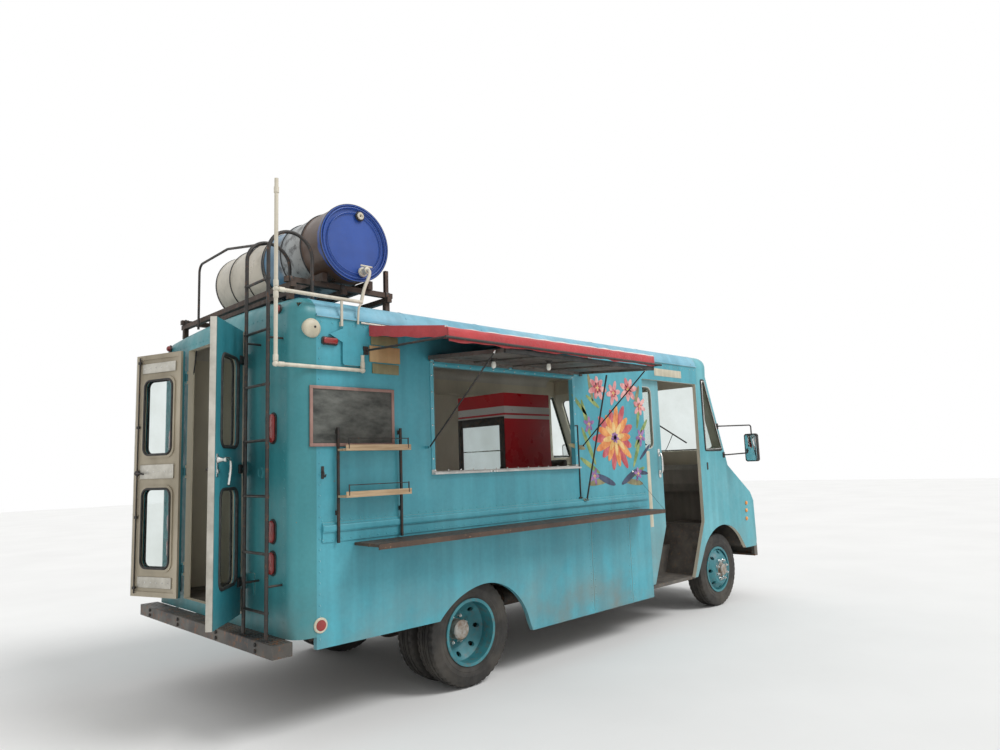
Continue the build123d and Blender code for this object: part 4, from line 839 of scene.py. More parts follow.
wires += [thread([(1.51, 1.1515, z), (2.0, 1.1525, z), (2.49, 1.1515, z)], 0.0028, sides=1)
          for z in [1.79 + 0.0743 * n for n in range(8)]]
grid_paint = enamel("white_wire_enamel", (0.62, 0.61, 0.56), (0.72, 0.71, 0.66), (0.3, 0.16, 0.08), bare=0.6, fine=5)
keep(gather(wires), "window_grid", "truck", grid_paint, 60)

# Serving hatch: one folded sheet with a tray underneath, riveted ribs, a black edge channel,
# two small caged lamps and a hasp; it hangs on a long hinge over the window.
# The sheet's dark brown-grey is painted shade: dull grey metal seen underneath in the hatch's own shadow, with rust
# spots.
hatch_shaded_metal = metal("hatch_sheet_painted_shade", (0.19, 0.17, 0.15), (0.10, 0.088, 0.078), 0.42, 0.8, 0.5, (0.10, 0.06, 0.04))
dress(hatch_shaded_metal, "serving_hatch")
lid = facing((0, -1.216, 2.566), (1, 0, 0), (0, -0.99756, -0.06976))
channel = slab((1.1185, 0.843, -0.0335), (2.9515, 0.8665, -0.0005), 0.003, 3, lid)
keep(channel, "hatch_edge_channel", "hatch", rubber)
ribs = [slab((x - 0.016, 0.052, -0.0205), (x + 0.016, 0.842, -0.0065), 0.004, 2, lid) for x in (1.58, 2.035, 2.49)]
keep(gather(ribs), "hatch_ribs", "hatch", hatch_shaded_metal)
rows = []
for y in (0.024, 0.835):
    rows.append((lid @ Vector((1.16, y, -0.0018)), lid @ Vector((2.91, y, -0.0018)), 36))
for x in (1.135, 2.935):
    rows.append((lid @ Vector((x, 0.06, -0.0018)), lid @ Vector((x, 0.80, -0.0018)), 16))
for x in (1.572, 1.588, 2.027, 2.043, 2.482, 2.498):
    rows.append((lid @ Vector((x, 0.08, -0.0062)), lid @ Vector((x, 0.80, -0.0062)), 15))
rivets("hatch_rivets", rows, 2, 0.0055, "hatch", hatch_shaded_metal)
milk, tree, shader = blank("milky_lamp_glass")
skin(tree, shader, steps(tree, grain(tree, 30, 3), (0.3, (0.78, 0.76, 0.68)), (0.7, (0.86, 0.84, 0.78))),
     steps(tree, grain(tree, 20), (0.3, 0.12), (0.7, 0.25)))
for number, (x, y) in enumerate(((1.49, 0.363), (1.876, 0.593))):
    at = lid @ Matrix.Translation((x, y, -0.0205))
    socket = turned([(0.030, 0), (0.029, 0.007), (0.018, 0.011), (0.017, 0.026), (0.014, 0.028)], at, 20)
    keep(socket, f"hatch_lamp_socket_{number}", "hatch", black_iron)
    bulb = turned([(0.012, 0.024), (0.016, 0.036), (0.019, 0.052), (0.018, 0.066), (0.012, 0.076), (0.004, 0.080)],
                  at, 20)
    keep(bulb, f"hatch_lamp_bulb_{number}", "hatch", milk, 60)
hasp = slab((2.005, 0.846, -0.0375), (2.065, 0.882, -0.0330), 0.0015, 2, lid)
keep(hasp, "hatch_hasp", "hatch", chrome)
for label, x, body in (("rear", 1.106, "stay_r"), ("front", 2.964, "stay_f")):
    tip = turned([(0.0085, 0), (0.0085, 0.018), (0.0065, 0.022)],
                 facing((x, -1.9755, 2.5175), (1, 0, 0), (0, 0.6494, -0.7604)) @ Matrix.Rotation(pi / 2, 4, "X"), 14)
    keep(tip, "stay_tip_" + label, body, chrome)

# Awning: one sheet of red coated cloth stretched from a batten under the gutter over a tube frame,
# folded down as a valance with a white bound edge, and a short flap at its rear end.
awning_cloth, tree, shader = blank("red_coated_cloth")
place = put(tree, "TexCoord").outputs["Object"]
parts_of = put(tree, "SeparateXYZ", {0: place})
tone = steps(tree, grain(tree, 2.2, 5), (0.3, (0.42, 0.018, 0.024)), (0.7, (0.56, 0.040, 0.045)))
# Soft darker streaks on the cloth: painted shade in its creases.
crease_shade = steps(tree, grain(tree, 10, 5, (0.35, 1, 1)), (0.35, 0.72), (0.62, 1.0))
tone = over(tree, 0.7, tone, crease_shade, "MULTIPLY")
outer = put(tree, "Math", {0: parts_of.outputs["Y"], 1: -2.062}, operation="LESS_THAN").outputs[0]
above = put(tree, "Math", {0: parts_of.outputs["Z"], 1: 2.628}, operation="GREATER_THAN").outputs[0]
edge = put(tree, "Math", {0: outer, 1: above}, operation="MULTIPLY").outputs[0]
tone = over(tree, edge, tone, steps(tree, grain(tree, 14, 4), (0.3, (0.66, 0.60, 0.56)), (0.7, (0.80, 0.77, 0.74))))
warp, weft = [put(tree, "TexWave", {"Vector": place, "Scale": 260.0}, bands_direction=way).outputs["Fac"]
              for way in "XY"]
weave = put(tree, "Math", {0: warp, 1: weft}, operation="MULTIPLY").outputs[0]
skin(tree, shader, tone, steps(tree, grain(tree, 8), (0.3, 0.45), (0.7, 0.65)), weave, 0.0005)
shader.inputs["Sheen Weight"].default_value = 0.25
calm()
bpy.ops.mesh.primitive_grid_add(x_subdivisions=110, y_subdivisions=46, size=1)
awning = bpy.context.object
for point in awning.data.vertices:
    u, v = point.co.x + 0.5, 0.5 - point.co.y
    hang = max(v - 0.88, 0) / 0.12
    run = min(v / 0.88, 1)
    wall_x, eave_x = 0.588 + 2.602 * u, 0.588 + 2.352 * u
    x = wall_x + (eave_x - wall_x) * run
    slack = 4 * run * (1 - run)
    wave = 0.5 + 0.5 * sin(5 * pi * u + 0.6) * cos(2.1 * pi * u)
    y = -1.2075 - 0.8815 * run
    z = 2.7805 - 0.1425 * run - 0.014 * slack * (0.6 + wave) - 0.010 * (1 - u) ** 3 * run
    z += 0.0022 * run * sin(26 * pi * u) + 0.0012 * sin(61 * u + 9 * run)
    if hang > 0:
        roll = min(hang / 0.12, 1)
        y -= 0.0045 * sin(roll * pi / 2) + 0.0035 * hang * sin(17 * pi * u + 1.2) ** 2
        z -= 0.093 * hang + 0.002 * sin(roll * pi / 2) + 0.004 * hang * sin(11 * pi * u)
    point.co = (x, y, z)
thick = awning.modifiers.new("cloth", "SOLIDIFY")
thick.thickness = 0.0016
bpy.ops.object.modifier_apply(modifier="cloth")
keep(awning, "awning_cloth", "truck", awning_cloth, 60)
calm()
bpy.ops.mesh.primitive_grid_add(x_subdivisions=48, y_subdivisions=8, size=1)
flap = bpy.context.object
for point in flap.data.vertices:
    run, fall = point.co.x + 0.5, 0.5 - point.co.y
    top, low = 2.776 - 0.140 * run, 2.700 - 0.148 * run
    fold = sin(15 * run) * 0.5 + sin(31 * run + 1) * 0.3
    point.co = (0.5845 + 0.007 * fall * fold, -1.214 - 0.872 * run,
                top + (low - top) * fall - 0.004 * fall * sin(22 * run))
thick = flap.modifiers.new("cloth", "SOLIDIFY")
thick.thickness = 0.0016
bpy.ops.object.modifier_apply(modifier="cloth")
keep(flap, "awning_flap", "truck", awning_cloth, 60)
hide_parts("awning")
batten = slab((0.52, -1.2118, 2.7835), (3.18, -1.2005, 2.7955), 0.002)
keep(batten, "awning_batten", "truck", trim_metal)
rivets("batten_screws", [((0.56, -1.2122, 2.7895), (3.14, -1.2122, 2.7895), 20)], 1, 0.005, "truck", chrome)

# Small shelves: planed boards with a low front lip on two iron uprights.
plank, tree, shader = blank("light_plank")
fibre = steps(tree, grain(tree, 14, 6, (0.25, 4, 4)), (0.32, (0.30, 0.19, 0.10)), (0.66, (0.52, 0.38, 0.23)))
iron = steps(tree, grain(tree, 20, 6), (0.4, (0.016, 0.015, 0.014)), (0.75, (0.07, 0.035, 0.02)))
out = put(tree, "SeparateXYZ", {0: put(tree, "TexCoord").outputs["Object"]}).outputs["Y"]
board = put(tree, "Math", {0: out, 1: -1.2376}, operation="LESS_THAN").outputs[0]
skin(tree, shader, over(tree, board, iron, fibre), steps(tree, grain(tree, 20), (0.3, 0.5), (0.7, 0.7)),
     grain(tree, 24, 5, (0.25, 4, 4)), 0.001)
dress(plank, "side_shelves")
rods = [thread([(0.322, -1.343, z), (0.575, -1.3435, z), (0.828, -1.343, z)], 0.003, sides=2) for z in (1.635, 1.950)]
posts = [slab((x - 0.004, -1.3455, z), (x + 0.004, -1.3385, z + 0.075), 0.001)
         for x in (0.325, 0.825) for z in (1.565, 1.880)]
keep(gather([*rods, *posts]), "small_shelf_rails", "truck", black_iron, 50)

# Service shelf: a dark stained board with an iron lip, hinged below the belt rail and held level
# by a thin steel wire at its front end.
shelf_stain = enamel("dark_shelf_stain", (0.045, 0.026, 0.017), (0.095, 0.055, 0.034), (0.22, 0.12, 0.06), bare=0.6,
                     gloss=0.45, fine=2)
dress(shelf_stain, "service_shelf")
strip = slab((0.452, -1.4995, 1.2385), (3.898, -1.4925, 1.2425), 0.001)
keep(strip, "shelf_edge_strip", "shelf", black_iron)
route = ((3.800, -1.2005, 1.620), (3.822, -1.275, 1.520), (3.848, -1.350, 1.424), (3.868, -1.420, 1.330),
         (3.888, -1.492, 1.2405))
wire = thread(route, 0.0014, sides=2)
wire.name = "shelf_wire"
wire.data.materials.append(black_iron)
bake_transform(wire)
eyes = [turned([(0.010, 0), (0.010, 0.004), (0.006, 0.007)], on_right(3.80, 1.62), 14)]
keep(gather(eyes), "wire_eye", "truck", chrome)

# Cab doors: enamelled panels that slide in behind the walls, with rubbers round the glass,
# a grab handle near the front edge and a pale rubbing strip on the right one.
# The doors' paler turquoise is partly real fading and partly painted sunlight, as on the cab.
door_faded_sunlit_enamel = enamel("door_turquoise_faded_and_sunlit", (0.11, 0.35, 0.40), (0.19, 0.44, 0.49), dust=1.15, lining=cream)
dress(door_faded_sunlit_enamel, "cab_door_right", "cab_door_left")
pale_rubber, tree, shader = blank("pale_rubber")
skin(tree, shader, steps(tree, grain(tree, 9, 5), (0.3, (0.50, 0.49, 0.44)), (0.7, (0.66, 0.65, 0.60))),
     steps(tree, grain(tree, 12), (0.3, 0.55), (0.7, 0.75)))
for name, place, out, shift in (("right", on_right, -1, -0.735), ("left", on_left, 1, 0)):
    body = "slider_" + name
    beads = [gasket(0.834, 0.664, 0.072, 0.0042, place(4.61 + shift, 2.19, depth)) for depth in (-0.050, -0.081)]
    keep(gather(beads), f"cab_door_rubber_{name}", body, pale_rubber, 60)
    grip = 5.11 + shift
    pull = thread([(grip, out * 1.152, 1.585), (grip, out * 1.188, 1.590), (grip, out * 1.192, 1.695),
                   (grip, out * 1.188, 1.800), (grip, out * 1.152, 1.805)], 0.012, sides=4)
    pads = [plate(0.044, 0.080, 0.016, 0.006, place(grip, z, -0.048)) for z in (1.580, 1.810)]
    keep(gather([pull, *pads]), f"cab_door_pull_{name}", body, chrome, 50)
    edge = [((x + shift, out * 1.1530, 0.70), (x + shift, out * 1.1530, 2.54), 12) for x in (4.07, 5.135)]
    edge[1] = ((5.135 + shift, out * 1.1530, 1.06), (5.135 + shift, out * 1.1530, 2.54), 10)
    edge.append(((4.10 + shift, out * 1.1530, 0.475), (4.86 + shift, out * 1.1530, 0.475), 8))
    rivets(f"cab_door_rivets_{name}", edge, 1, 0.006, body, door_faded_sunlit_enamel)
strip = plate(0.06, 0.80, 0.006, 0.0015, on_right(4.17, 1.43, -0.048))
keep(strip, "door_rubbing_strip", "slider_right", cream_paint)
blank_plate = plate(0.55, 0.082, 0.008, 0.0025, on_right(4.585, 2.690))
keep(blank_plate, "blank_door_plate", "truck", cream_paint)
slot = plate(0.030, 0.085, 0.008, 0.004, on_right(5.318, 1.64))
keep(slot, "door_striker_plate", "truck", black_iron)

# Windshield and quarter windows: rubbers, wipers and a chrome centre post.
screen = facing((5.5825, 0, 2.22), (0, 1, 0), (-0.35539, 0, 0.93472))
beads = [gasket(1.046, 0.826, 0.073, 0.011, screen @ Matrix.Translation((y, 0.010, -0.002))) for y in (-0.552, 0.552)]
for out in (-1, 1):
    beads.append(thread([(5.285, out * 1.2, 2.655), (5.355, out * 1.2, 2.655), (5.520, out * 1.2, 2.245),
                         (5.685, out * 1.2, 1.834), (5.660, out * 1.2, 1.824), (5.480, out * 1.2, 1.824),
                         (5.300, out * 1.2, 1.824), (5.294, out * 1.2, 1.860), (5.285, out * 1.2, 2.240)],
                        0.009, cyclic=True, order=2))
keep(gather(beads), "cab_window_rubbers", "truck", rubber, 60)
trims = [thread([(5.300, out * 1.2075, 2.643), (5.349, out * 1.2075, 2.643), (5.508, out * 1.2075, 2.245),
                 (5.668, out * 1.2075, 1.846), (5.480, out * 1.2075, 1.838), (5.306, out * 1.2075, 1.838)],
                0.005, cyclic=True, order=2) for out in (-1, 1)]
keep(gather(trims), "quarter_window_trims", "truck", chrome, 60)
post = slab((-0.014, -0.40, -0.001), (0.014, 0.42, 0.006), 0.003, 2, screen)
keep(post, "windshield_post", "truck", chrome)
for name, y in (("right", -0.30), ("left", 0.30)):
    pivot = turned([(0.020, -0.004), (0.020, 0.012), (0.012, 0.020), (0.010, 0.034)],
                   screen @ Matrix.Translation((y, -0.455, 0)), 18)
    bends = ((y, -0.455, 0.030), (y - 0.06, -0.42, 0.036), (y - 0.16, -0.30, 0.022), (y - 0.25, -0.18, 0.018))
    reach = thread([screen @ Vector(bend) for bend in bends], 0.0045)
    turn = screen @ Matrix.Translation((y - 0.25, -0.18, 0.010)) @ Matrix.Rotation(radians(38), 4, "Z")
    blade = slab((-0.215, -0.006, -0.012), (0.215, 0.006, 0.008), 0.003, 2, turn)
    keep(gather([pivot, reach, blade]), "wiper_" + name, "truck", black_iron, 50)

# Nose: hood lid with a grab handle, grille, headlamps with fluted lenses, and marker lamps.
dress(cab_faded_sunlit_enamel, "hood")
dress(trim_metal, "grille")
lid_top = facing((6.065, 0, 1.465), (0, 1, 0), (-0.8345, 0, 0.5511))
knob = thread([lid_top @ Vector(place) for place in ((-0.07, -0.215, 0), (-0.07, -0.215, 0.030), (0, -0.215, 0.036),
                                                     (0.07, -0.215, 0.030), (0.07, -0.215, 0))], 0.007)
keep(knob, "hood_handle", "hood_lid", chrome, 50)
vents = [slab((y - 0.004, -0.15, -0.001), (y + 0.004, 0.15, 0.006), 0.003, 2, lid_top)
         for y in (-0.40, -0.2, 0.2, 0.40)]
keep(gather(vents), "hood_ribs", "hood_lid", cab_faded_sunlit_enamel)
lens_glass, tree, shader = blank("fluted_lamp_glass")
shader.inputs["Metallic"].default_value = 0.75
flutes = put(tree, "TexWave", {"Vector": put(tree, "TexCoord").outputs["Object"], "Scale": 30.0}, bands_direction="Y")
skin(tree, shader, steps(tree, grain(tree, 5), (0.3, (0.66, 0.68, 0.68)), (0.7, (0.50, 0.50, 0.47))),
     steps(tree, grain(tree, 8), (0.3, 0.12), (0.7, 0.25)), flutes.outputs["Fac"], 0.002)
for name, y in (("right", -0.8), ("left", 0.8)):
    at = facing((6.3852, y, 1.01), (0, 1, 0), (0, 0, 1))
    lens = turned([(0.0868, 0), (0.0865, 0.006), (0.070, 0.018), (0.040, 0.025), (0.012, 0.0275)], at, 40)
    keep(lens, "headlamp_lens_" + name, "truck", lens_glass, 60)
    rim = gasket(0.187, 0.187, 0.0932, 0.0065, facing((6.4125, y, 1.01), (0, 1, 0), (0, 0, 1)))
    keep(rim, "headlamp_ring_" + name, "truck", chrome, 60)
    for number, (x, z) in enumerate(((6.20, 1.16), (6.19, 1.07), (6.18, 0.97))):
        out = -1 if name == "right" else 1
        place = on_right if name == "right" else on_left
        lamp = turned([(0.024, 0), (0.024, 0.006), (0.019, 0.014), (0.008, 0.018)], place(x, z), 20)
        keep(lamp, f"side_lamp_{name}_{number}", "truck", lens_amber, 60)

# Mirrors: black heads with silvered glass on bent tubes clamped to the posts.
dress(black_iron, "mirrors")
silver, tree, shader = blank("silvered_glass")
shader.inputs["Metallic"].default_value = 1.0
skin(tree, shader, steps(tree, grain(tree, 4), (0.3, (0.80, 0.82, 0.82)), (0.7, (0.62, 0.64, 0.64))),
     steps(tree, grain(tree, 6, 5), (0.4, 0.02), (0.8, 0.14)))
feet = []
for name, y in (("right", -1.457), ("left", 1.457)):
    at = facing((5.9302, y, 1.842), (0, -1, 0), (0, 0, 1))
    keep(plate(0.140, 0.310, 0.024, 0.0025, at), "mirror_glass_" + name, "truck", silver)
    place = on_right if name == "right" else on_left
    for z in (2.110, 1.765):
        feet.append(plate(0.052, 0.070, 0.012, 0.005, place(5.606 if z > 2 else 5.720, z)))
keep(gather(feet), "mirror_feet", "truck", black_iron)

# Kitchen: steel counter behind the window with cupboard fronts, and a griddle unit opposite.
kitchen_steel = metal("brushed_kitchen_steel", (0.52, 0.51, 0.48), (0.34, 0.33, 0.31), 0.28, 2, 0.9, (0.20, 0.15, 0.10))
dress(kitchen_steel, "kitchen")
doors = [plate(0.52, 0.78, 0.010, 0.014, facing((x, -0.5598, 1.18), (-1, 0, 0), upright)) for x in (1.49, 2.045, 2.60)]
doors += [plate(0.24, 0.70, 0.010, 0.014, facing((x, 0.5398, 1.12), (1, 0, 0), upright)) for x in (2.255, 2.505)]
keep(gather(doors), "cupboard_fronts", "truck", kitchen_steel)
bends = ((-0.06, -0.546), (-0.06, -0.520), (0.06, -0.520), (0.06, -0.546))
pulls = [thread([(x + reach, y, 1.48) for reach, y in bends], 0.004) for x in (1.49, 2.045, 2.60)]
pulls += [thread([(x, 0.526, 1.36), (x, 0.500, 1.36), (x, 0.500, 1.26), (x, 0.526, 1.26)], 0.004)
          for x in (2.345, 2.415)]
keep(gather(pulls), "cupboard_pulls", "truck", chrome, 50)
rim = [slab((2.14, 0.56, 1.655), (2.62, 1.06, 1.690), 0.006), slab((2.14, 1.045, 1.68), (2.62, 1.06, 1.80), 0.004),
       slab((2.14, 0.56, 1.68), (2.152, 1.05, 1.74), 0.004), slab((2.608, 0.56, 1.68), (2.62, 1.05, 1.74), 0.004)]
keep(gather(rim), "griddle_tray", "truck", kitchen_steel)
hot_plate = slab((2.154, 0.575, 1.688), (2.606, 1.043, 1.700), 0.003)
keep(hot_plate, "griddle_plate", "truck", black_iron)
knobs = [turned([(0.020, 0), (0.019, 0.012), (0.013, 0.016), (0.012, 0.028)],
                facing((x, 0.5398, 1.585), (1, 0, 0), upright), 20) for x in (2.22, 2.38, 2.54)]
keep(gather(knobs), "griddle_knobs", "truck", black_iron, 40)

# Cooler: red steel case with two plain pale bands, a black door frame, and lit shelves behind glass.
cooler_red, tree, shader = blank("red_cooler_enamel")
level = put(tree, "SeparateXYZ", {0: put(tree, "TexCoord").outputs["Object"]}).outputs["Z"]
red = steps(tree, grain(tree, 1.6, 4), (0.35, (0.42, 0.012, 0.020)), (0.7, (0.50, 0.020, 0.028)))
for low, high in ((2.20, 2.235), (2.255, 2.325)):
    inside = put(tree, "Math", {0: level, 1: (low + high) / 2, 2: (high - low) / 2}, operation="COMPARE").outputs[0]
    red = over(tree, inside, red, (0.55, 0.54, 0.52))
scuffs = steps(tree, grain(tree, 22, 7, rough=0.7), (0.66, 0.0), (0.70, 1.0))
skin(tree, shader, over(tree, scuffs, red, (0.20, 0.10, 0.09)), steps(tree, grain(tree, 6), (0.3, 0.22), (0.7, 0.42)),
     grain(tree, 3, 2), 0.002)
dress(cooler_red, "cooler")
back_light, tree, shader = blank("lit_cooler_lining")
shader.inputs["Emission Strength"].default_value = 0.5
shader.inputs["Emission Color"].default_value = (0.85, 0.90, 0.92, 1)
skin(tree, shader, steps(tree, grain(tree, 4), (0.3, (0.70, 0.72, 0.72)), (0.7, (0.80, 0.82, 0.82))),
     steps(tree, grain(tree, 8), (0.3, 0.4), (0.7, 0.6)))
door_at = facing((2.7348, -0.10, 1.52), (0, -1, 0), upright)
keep(plate(0.590, 1.250, 0.004, 0.0015, door_at), "cooler_lining", "truck", back_light)
racks = [slab((-0.292, z - 0.006, 0.0015), (0.292, z + 0.006, 0.0080), 0.002, 2, door_at)
         for z in (-0.42, -0.16, 0.10, 0.36)]
keep(gather(racks), "cooler_racks", "truck", chrome)
pane = plate(0.592, 1.252, 0.006, 0.003, door_at @ Matrix.Translation((0, 0, 0.010)))
keep(pane, "cooler_glass", "truck", glass)
frame_bars = [slab((left, low, 0.0150), (right, high, 0.028), 0.004, 2, door_at)
              for left, low, right, high in ((-0.346, -0.700, -0.280, 0.700), (0.280, -0.700, 0.346, 0.700),
                                             (-0.282, 0.615, 0.282, 0.700), (-0.282, -0.700, 0.282, -0.615))]
frame_bars.append(slab((0.292, -0.20, 0.028), (0.318, 0.20, 0.050), 0.006, 3, door_at))
keep(gather(frame_bars), "cooler_door_frame", "truck", black_iron)
grate = [slab((-0.33, z, 0.0150), (0.33, z + 0.012, 0.021), 0.002, 2, door_at) for z in (-0.765, -0.745, -0.725)]
keep(gather(grate), "cooler_vents", "truck", black_iron)

# Cab fittings: engine cover, dash with dials and switches, pedals, gear lever, steering wheel.
cab_grey = enamel("worn_cab_grey", (0.19, 0.175, 0.15), (0.27, 0.25, 0.21), bare=0.66, gloss=0.5, fine=2)
dress(cab_grey, "cab_fittings")
dress(rubber, "steering_wheel")
dash_at = facing((5.4998, 0.45, 1.515), (0, -1, 0), (0, 0, 1))
panel = plate(0.40, 0.135, 0.014, 0.004, dash_at)
keep(panel, "dial_panel", "truck", black_iron)
dial_face, tree, shader = blank("dial_face")
spot = put(tree, "TexVoronoi", {"Vector": put(tree, "TexCoord").outputs["Object"], "Scale": 160.0}).outputs["Distance"]
skin(tree, shader, steps(tree, spot, (0.12, (0.55, 0.55, 0.50)), (0.16, (0.014, 0.014, 0.015))),
     steps(tree, grain(tree, 8), (0.3, 0.3), (0.7, 0.5)))
rings, faces, hands = [], [], []
for y, radius in ((-0.115, 0.045), (0.0, 0.052), (0.115, 0.045)):
    at = dash_at @ Matrix.Translation((y, 0.004, 0.0042))
    faces.append(turned([(radius, 0), (radius - 0.001, 0.002)], at, 32))
    rings.append(gasket(2 * radius + 0.004, 2 * radius + 0.004, radius, 0.0035, at))
    hands.append(slab((-0.0015, -0.004, 0.002), (0.0015, radius * 0.8, 0.004), 0.0005, 1,
                      at @ Matrix.Rotation(radians(40), 4, "Z")))
keep(gather(faces), "dials", "truck", dial_face)
keep(gather(rings), "dial_rings", "truck", chrome, 60)
keep(gather(hands), "dial_hands", "truck", lens_red)
switches = [turned([(0.010, 0), (0.009, 0.006), (0.005, 0.008), (0.007, 0.022)],
                   facing((5.4998, y, 1.505), (0, -1, 0), (0, 0, 1)), 14) for y in (0.16, 0.11, 0.06, 0.01)]
lever = thread([(5.120, 0.120, 1.238), (5.105, 0.122, 1.36), (5.060, 0.130, 1.50), (5.030, 0.135, 1.585)], 0.008)
boot = turned([(0.060, 0), (0.056, 0.010), (0.030, 0.030), (0.020, 0.055), (0.010, 0.070)],
              Matrix.Translation((5.120, 0.120, 1.2395)), 24)
ball = turned([(0.008, -0.008), (0.020, 0.004), (0.026, 0.020), (0.020, 0.036), (0.006, 0.044)],
              Matrix.Translation((5.030, 0.135, 1.580)), 20)
pads, arms = [], []
for y, wide, z in ((0.40, 0.075, 0.92), (0.50, 0.075, 0.92), (0.59, 0.045, 0.90)):
    at = facing((5.575, y, z), (0, -1, 0), (0.45, 0, 0.893))
    pads.append(plate(wide, 0.070, 0.008, 0.010, at))
    arms.append(thread([(x, y, z + rise) for x, rise in ((5.580, 0.015), (5.610, 0.10), (5.640, 0.22), (5.692, 0.27))],
                       0.007))
keep(gather([*switches, lever, boot, ball, *pads, *arms]), "driver_controls", "truck", rubber, 50)

# Driver's seat: a steel box with a stuffed vinyl cushion and back, swollen by cloth and then sewn
# in channels.
seat_vinyl, tree, shader = blank("worn_seat_vinyl")
tone = steps(tree, grain(tree, 5, 6), (0.35, (0.030, 0.027, 0.024)), (0.7, (0.075, 0.066, 0.056)))
skin(tree, shader, tone, steps(tree, grain(tree, 12), (0.3, 0.42), (0.7, 0.62)), grain(tree, 130, 3), 0.0008)


def stuffed(piece, cap, seams, side):
    """Swells a closed form as cloth, no point moving further than cap, then sinks seams across one side."""
    calm()
    piece.select_set(True)
    bpy.context.view_layer.objects.active = piece
    even = piece.modifiers.new("even", "REMESH")
    even.mode, even.voxel_size = "VOXEL", 0.009
    bpy.ops.object.modifier_apply(modifier="even")
    rest = [point.co.copy() for point in piece.data.vertices]
    cloth = piece.modifiers.new("stuffing", "CLOTH")
    cloth.settings.use_pressure = True
    cloth.settings.uniform_pressure_force = 4
    cloth.settings.effector_weights.gravity = 0
    for step in range(1, 21):
        bpy.context.scene.frame_set(step)
    bpy.ops.object.modifier_apply(modifier="stuffing")
    for point, start in zip(piece.data.vertices, rest):
        move = point.co - start
        if move.length > cap:
            move *= cap / move.length
        point.co = start + move
        near = min(abs(point.co.y - seam) for seam in seams)
        sink = 0.009 * exp(-(near / 0.008) ** 2)
        if point.normal.dot(side) > 0.5:
            point.co -= side * sink
    bpy.context.scene.frame_set(1)
    return piece


seat_box = slab((4.532, 0.272, 0.7402), (4.868, 0.628, 1.020), 0.012, 3)
keep(seat_box, "seat_box", "truck", black_iron)
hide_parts("seat")
seams = [0.31, 0.403, 0.497, 0.59]
cushion = slab((4.462, 0.212, 1.028), (4.938, 0.688, 1.123), 0.030, 4)
keep(stuffed(cushion, 0.012, seams, Vector((0, 0, 1))), "seat_cushion", "truck", seat_vinyl, 60)
lean = facing((4.472, 0.45, 1.455), (0, 1, 0), (-0.1228, 0, 0.9924))
back = slab((-0.238, -0.325, -0.036), (0.238, 0.330, 0.036), 0.026, 4, lean)
keep(stuffed(back, 0.010, seams, Vector((0.9924, 0, 0.1228))), "seat_back", "truck", seat_vinyl, 60)

# Wheels: turquoise rims with silver hubs and nuts, and tyres with shoulder blocks, grooves
# and moulded sidewall rings in place of the plain CAD ones.
front_x, rear_x, hub_z = 5.58, 1.6, 0.42
front_y, rear_y, inner_y = 1.01, 1.02, 0.765
tyre_rubber, tree, shader = blank("worn_tyre_rubber")
tone = steps(tree, grain(tree, 5, 6), (0.35, (0.016, 0.015, 0.014)), (0.7, (0.042, 0.038, 0.033)))
dust = steps(tree, grain(tree, 3, 6), (0.45, 0.0), (0.75, 0.6))
skin(tree, shader, over(tree, dust, tone, (0.10, 0.085, 0.066)), steps(tree, grain(tree, 14), (0.3, 0.65), (0.7, 0.9)),
     grain(tree, 90, 4), 0.0012)


def rim_paint(name, axle_x):
    """Chipped turquoise on the rim, silver and rust near the axle."""
    made, tree, shader = blank(name)
    place = put(tree, "SeparateXYZ", {0: put(tree, "TexCoord").outputs["Object"]})
    run = put(tree, "Math", {0: place.outputs["X"], 1: axle_x}, operation="SUBTRACT").outputs[0]
    rise = put(tree, "Math", {0: place.outputs["Z"], 1: hub_z}, operation="SUBTRACT").outputs[0]
    flat = put(tree, "CombineXYZ", {0: run, 1: rise})
    reach = put(tree, "VectorMath", {0: flat.outputs[0]}, operation="LENGTH").outputs["Value"]
    paint = steps(tree, grain(tree, 6, 5), (0.35, (0.022, 0.15, 0.18)), (0.7, (0.05, 0.24, 0.27)))
    hub = put(tree, "Math", {0: reach, 1: 0.082}, operation="LESS_THAN").outputs[0]
    silver_grey = steps(tree, grain(tree, 16, 6), (0.4, (0.36, 0.35, 0.32)), (0.62, (0.20, 0.14, 0.09)))
    paint = over(tree, hub, paint, silver_grey)
    ring = steps(tree, reach, (0.10, 0.75), (0.16, 0.15), (0.24, 0.55))
    rust = steps(tree, grain(tree, 18, 7, rough=0.7), (0.50, 0.0), (0.66, 1.0))
    rusty = put(tree, "Math", {0: rust, 1: ring}, operation="MULTIPLY").outputs[0]
    paint = over(tree, rusty, paint, (0.16, 0.085, 0.05))
    skin(tree, shader, paint, steps(tree, grain(tree, 10), (0.3, 0.38), (0.7, 0.65)), grain(tree, 24, 4), 0.001)
    return made


front_rim = rim_paint("front_rim_enamel", front_x)
rear_rim = rim_paint("rear_rim_enamel", rear_x)
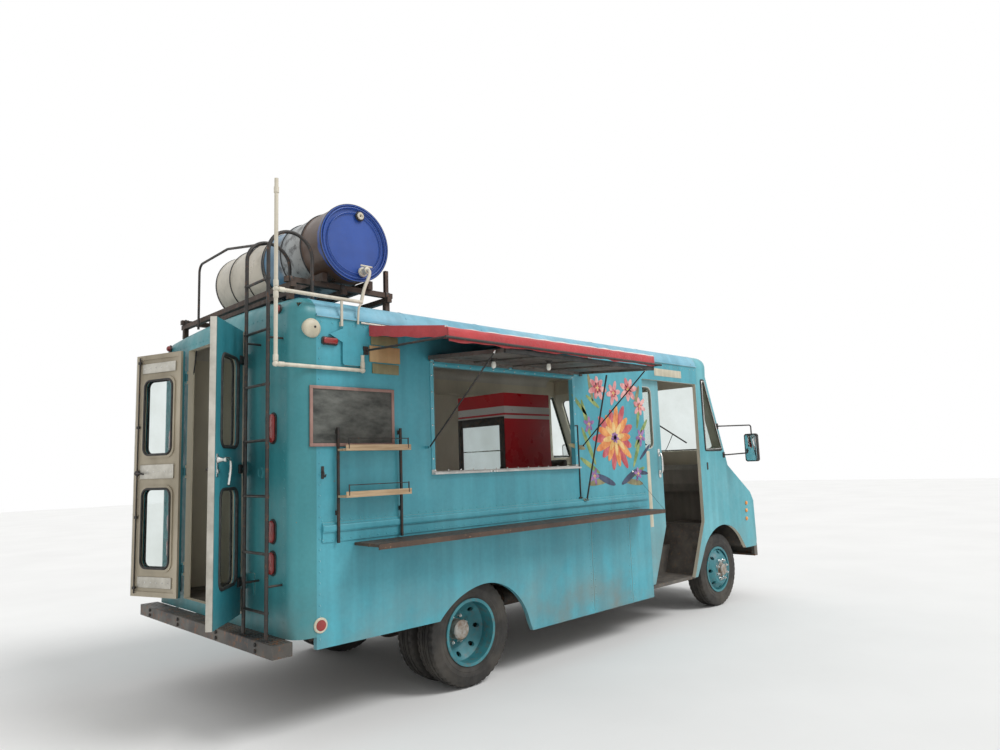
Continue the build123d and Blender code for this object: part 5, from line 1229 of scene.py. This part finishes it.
# Half the tyre's section as radius and place: bead, sidewall rings, shoulder, two grooves
tyre_profile = [(0.2481, -0.080), (0.262, -0.082), (0.285, -0.0905), (0.300, -0.0945), (0.304, -0.0930),
                (0.335, -0.0985), (0.339, -0.0970), (0.372, -0.0960), (0.398, -0.0905), (0.409, -0.0875),
                (0.4145, -0.078), (0.4170, -0.056), (0.4090, -0.055), (0.4090, -0.046), (0.4180, -0.045),
                (0.4190, -0.016), (0.4110, -0.015), (0.4110, -0.006), (0.4195, -0.005)]
tyre_profile += [(radius, -place) for radius, place in reversed(tyre_profile)]
steps_round = 132
for side, out in (("right", -1), ("left", 1)):
    for name, x, y, body in (("tyre_front_", front_x, front_y, "wheel_front_"),
                             ("tyre_rear_outer_", rear_x, rear_y, "wheels_rear_"),
                             ("tyre_rear_inner_", rear_x, inner_y, "wheels_rear_")):
        tyre = turned([*tyre_profile, tyre_profile[0]], Matrix.Identity(4), steps_round)
        bpy.ops.object.mode_set(mode="EDIT")
        bpy.ops.mesh.select_all(action="DESELECT")
        bpy.ops.mesh.select_face_by_sides(number=4, type="GREATER")
        bpy.ops.mesh.delete(type="FACE")
        bpy.ops.mesh.select_all(action="SELECT")
        bpy.ops.mesh.remove_doubles(threshold=0.0002)
        bpy.ops.object.mode_set(mode="OBJECT")
        for point in tyre.data.vertices:
            radius = (point.co.x ** 2 + point.co.y ** 2) ** 0.5
            turn = round(steps_round * (atan2(point.co.y, point.co.x) / (2 * pi) + 1))
            if radius > 0.403 and abs(point.co.z) > 0.05 and turn % 3 == (0 if point.co.z > 0 else 1):
                sink = (radius - 0.008) / radius
                point.co.x *= sink
                point.co.y *= sink
        tyre.data.transform(facing((x, out * y, hub_z), (1, 0, 0), (0, 0, out)))
        keep(tyre, name + "tread_" + side, body + side, tyre_rubber, 30)
        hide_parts(name + side)
    dress(front_rim, "rim_front_" + side)
    dress(rear_rim, "rims_rear_" + side)
    for name, x, y, level, body in (("front", front_x, front_y, 0.1275, "wheel_front_"),
                                    ("rear", rear_x, rear_y, -0.113, "wheels_rear_")):
        nuts = []
        for step in range(8):
            turn = Matrix.Rotation(radians(45 * step + 22.5), 4, "Z") @ Matrix.Translation((0.108, 0, level))
            at = facing((x, out * y, hub_z), (-out, 0, 0), upright) @ turn
            nuts.append(turned([(0.019, -0.001), (0.019, 0.004), (0.0165, 0.006), (0.0165, 0.020), (0.014, 0.023)],
                               at, 6))
            nuts.append(turned([(0.009, 0.022), (0.009, 0.034), (0.007, 0.036)], at, 8))
        keep(gather(nuts), f"wheel_nuts_{name}_{side}", body + side, chrome, 25)
    valve = thread([(rear_x, out * y, hub_z + rise) for y, rise in ((0.985, 0.236), (1.02, 0.222), (1.055, 0.224))],
                   0.004)
    keep(valve, "rear_valve_" + side, "wheels_rear_" + side, rubber, 50)

# Chassis, floor and knuckles: black paint gone to rust and road dust.
frame_rust = metal("rusted_chassis_black", (0.022, 0.020, 0.018), (0.075, 0.050, 0.034), 0.6, 1, 0.0,
                   (0.17, 0.075, 0.035))
dress(frame_rust, "chassis", "knuckle_right", "knuckle_left")
deck_paint = metal("worn_deck_plate", (0.075, 0.068, 0.060), (0.15, 0.135, 0.115), 0.55, 1.2, 0.2, (0.19, 0.12, 0.075))
dress(deck_paint, "floor")
